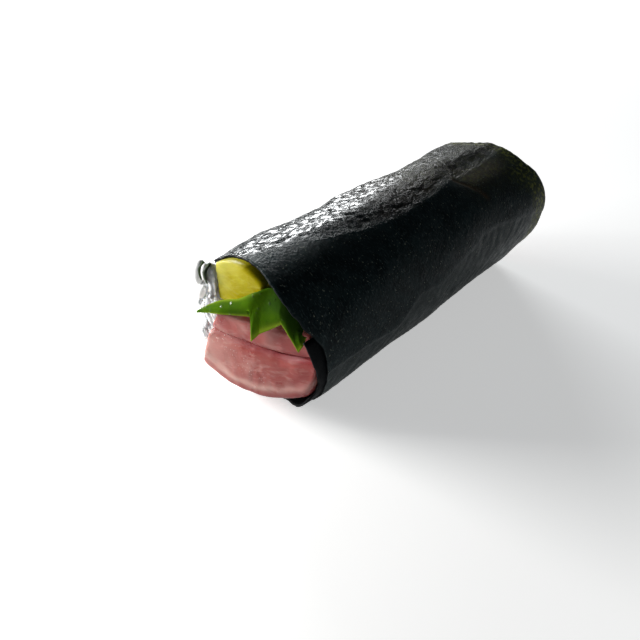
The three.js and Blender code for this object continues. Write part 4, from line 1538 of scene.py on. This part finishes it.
    def press(self, obj: Object, low_y: float, high_y: float, corners: int) -> None:
        """Moves whole grains back into the rice's own room, clear of the nori and the other fillings.

        Args:
            obj: The layer of grains.
            low_y: Lowest y that a grain may reach.
            high_y: Highest y that a grain may reach.
            corners: Number of corners of one grain.
        """
        points = roll_corners(obj).reshape(-1, corners, 3)
        for _ in range(3):
            for grain in points:
                for section in self.sections:
                    self.clear(grain, section)
                reach = np.hypot(grain[:, 0], grain[:, 2])
                over = float((reach - self.limit(grain)).max())
                if over > 0:
                    middle = grain[:, [0, 2]].mean(axis=0)
                    grain[:, [0, 2]] -= middle / max(np.hypot(*middle), 1e-6) * over
        points = points.reshape(-1, 3)
        reach = np.maximum(np.hypot(points[:, 0], points[:, 2]), 1e-6)
        points[:, [0, 2]] *= np.minimum(1.0, self.limit(points) / reach)[:, None]
        points[:, 1] = np.clip(points[:, 1], low_y, high_y)
        move_corners(obj, (points + ROLL_ORIGIN) * MM)

    def clear(self, grain: Array, section: Array) -> None:
        """Moves one grain out of a filling.

        Args:
            grain: Its corners (N, 3), which are changed.
            section: The filling's outline.
        """
        middle = grain[:, [0, 2]].mean(axis=0)
        gaps = np.hypot(section[:, 0] - middle[0], section[:, 1] - middle[1])
        if gaps.min() > self.grain_length:
            return
        away = section[int(gaps.argmin())] - section.mean(axis=0)
        depth = max(float(np.hypot(section[:, 0] - x, section[:, 1] - z).min())
                    if within(section, x, z, 0.12) else 0.0 for x, z in grain[:, [0, 2]])
        grain[:, [0, 2]] += away / max(np.hypot(*away), 1e-6) * depth

    def limit(self, points: Array) -> Array:
        """Radius that grains may reach.

        Args:
            points: Corners (N, 3) of grains.

        Returns:
            The nori's room, or its outside in front of its rim.
        """
        angle = np.degrees(np.arctan2(points[:, 2], points[:, 0]))
        winding = np.mod(WRAPPING.inner_edge - angle, 360.0)
        rim = np.minimum(along(WRAPPING.near_rim, winding), along(WRAPPING.near_rim, winding + 360))
        return lerp(WRAPPING.room(angle, points[:, 1], 0.4), WRAPPING.outer(angle, points[:, 1]) - 0.2,
                    smooth(rim - points[:, 1], 0.3, 1.0))

    def build(self, core_finish: Material, grain_finish: Material, shred_finish: Material,
              cutters: Sequence[Filling]) -> list[Object]:
        """Builds the core and both layers of grains.

        Args:
            core_finish: Finish of the core.
            grain_finish: Finish of the grains.
            shred_finish: Finish of the shreds of nori.
            cutters: The other fillings.

        Returns:
            The finished pieces.
        """
        pieces = [self.core(core_finish, cutters)]
        grain = self.grain()
        for name, face, sink, end, low_y, high_y in (
                ("rice_grains_near", rice_face, 0.55, -1.0, -13.4, 80.0),
                ("rice_grains_far", far_face, -0.55, 88.0, 0.0, 93.0)):
            layer = self.patch(name, face, sink, end)
            self.scatter().apply(layer, Grain=grain, Spacing=self.spacing * MM, Seed=self.seed,
                                 Tilt=self.tilt, Material=grain_finish)
            self.press(layer, low_y, high_y, len(grain.data.vertices))
            if sink > 0:
                layer = self.trimmings(layer, grain, shred_finish)
            pieces.append(layer)
        bpy.data.objects.remove(grain, do_unlink=True)
        return pieces


# -------------------------------------------------------------------------------------- the studio


@dataclass
class Studio:
    """Pale floor, soft light and the camera."""

    camera_place: tuple = (70.4, -55.6, 73.0)
    azimuth: float = 45.14
    pitch: float = 39.24
    lens: float = 27.0
    floor_glow: float = 0.2
    seen_glow: float = 0.3
    dim: float = 0.05
    lights: tuple = (("window", (-1.02, 0.68, 0.38), (0.9, 0.36), 15.0, (0.97, 0.99, 1.0)),
                     ("softbox", (-0.9, -0.5, 0.26), (0.6, 0.5), 11.0, (1.0, 0.99, 0.97)),
                     ("kicker", (-0.145, -0.13, 0.07), (0.10, 0.10), 0.45, (1.0, 0.99, 0.97)))

    def camera(self) -> None:
        """Sets the scene's camera."""
        data = bpy.data.cameras.new("camera")
        data.lens = self.lens
        data.sensor_width = 36.0
        data.clip_start = 0.005
        obj = bpy.data.objects.new("camera", data)
        obj.location = (np.array(self.camera_place) + ROLL_ORIGIN) * MM
        obj.rotation_euler = Euler((math.radians(90 - self.pitch), 0, math.radians(self.azimuth)))
        bpy.context.collection.objects.link(obj)
        bpy.context.scene.camera = obj

    def floor(self) -> None:
        """Adds the floor."""
        bpy.ops.mesh.primitive_plane_add(size=40.0, location=(0, 0, 0))
        obj = bpy.context.object
        obj.name = "floor"
        s = Shader("floor_pale")
        seen = s.maths("MULTIPLY", s.node("LightPath").outputs["Is Camera Ray"], self.seen_glow)
        obj.data.materials.append(s.set(
            Base_Color=(0.86, 0.86, 0.86), Roughness=0.9, Specular_IOR_Level=0.2,
            Emission_Color=(1.0, 1.0, 1.0), Emission_Strength=s.maths("ADD", seen, self.floor_glow)))
        obj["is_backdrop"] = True

    def light(self, name: str, place: Sequence[float], size: Sequence[float], power: float,
              colour: Sequence[float]) -> None:
        """Adds a soft rectangular light that looks at the roll.

        Args:
            name: Name of the light.
            place: Where it stands, in metres.
            size: Its width and height in metres.
            power: Its power in watts.
            colour: Its linear colour.
        """
        data = bpy.data.lights.new(name, "AREA")
        data.shape = "RECTANGLE"
        data.size, data.size_y = size
        data.energy = power
        data.color = colour
        obj = bpy.data.objects.new(name, data)
        obj.location = place
        aim = Vector((0, 0, 0.02)) - Vector(place)
        obj.rotation_euler = aim.to_track_quat("-Z", "Y").to_euler()
        obj.visible_camera = False
        bpy.context.collection.objects.link(obj)

    def world(self) -> None:
        """Sets a dim surrounding, with a pale backdrop behind the floor."""
        world = bpy.data.worlds.new("surroundings")
        world.use_nodes = True
        n = Nodes(world.node_tree, "ShaderNode")
        dim = n.tree.nodes["Background"]
        n.give(dim.inputs["Color"], (0.75, 0.93, 1.0))
        n.give(dim.inputs["Strength"], self.dim)
        pale = n.node("Background", {"Color": (0.9, 0.9, 0.9)})
        both = n.node("MixShader", {0: n.node("LightPath").outputs["Is Camera Ray"],
                                    1: dim.outputs[0], 2: pale.outputs[0]})
        n.give(n.tree.nodes["World Output"].inputs["Surface"], both.outputs[0])
        bpy.context.scene.world = world

    def build(self) -> None:
        """Builds the studio."""
        self.camera()
        self.floor()
        self.world()
        for light in self.lights:
            self.light(*light)
        bpy.context.scene.view_settings.view_transform = "Standard"


# ------------------------------------------------------------------------------------------- making


def main() -> None:
    """Builds the pieces in order, says what each rides on and stands for, and reports them."""
    logging.basicConfig(level=logging.INFO, format="%(message)s")
    low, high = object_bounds()
    Studio().build()
    mottle = food_mottle()
    nori, radish, fish, rice = NoriFinish(), Radish(), Fish(), RiceFinish()
    sheet = NoriSheet().build(nori.build(mottle), nori.build_inside(mottle))
    stick = radish.build(RadishFinish().build(mottle))
    flesh = FishFinish().build(mottle)
    upper = fish.slab("fish_slab_upper", UPPER_FISH_SECTION, 1.0, flesh)
    lower = fish.slab("fish_slab_lower", LOWER_FISH_SECTION, 1.4, flesh)
    leaf = ShisoLeaf().build(LeafFinish().build(mottle))
    cutters = [radish.filling(), Filling("cutter", UPPER_FISH_SECTION, fish_face),
               Filling("cutter", LOWER_FISH_ROOM, fish_face, round_edge=1.4)]
    shreds = nori.build_shred(mottle)
    grains = Rice().build(rice.build(mottle, "rice_core"), rice.build(mottle, "rice_grain"), shreds,
                          cutters)
    for node, slot, pieces in (
            ("nori", Slot.NORI, [sheet]), ("pickled_radish", Slot.RADISH, [stick]),
            ("fish_upper", Slot.FISH, [upper]), ("fish_lower", Slot.FISH, [lower]),
            ("shiso_leaf", Slot.LEAF, [leaf]), ("rice", Slot.RICE, grains)):
        for piece in pieces:
            keep_in_box(piece, low, high)
            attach(piece, "root")
            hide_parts(node)
            LOG.info("%s stands for %s: %d faces", piece.name, node, len(piece.data.polygons))


if __name__ == "__main__":
    main()
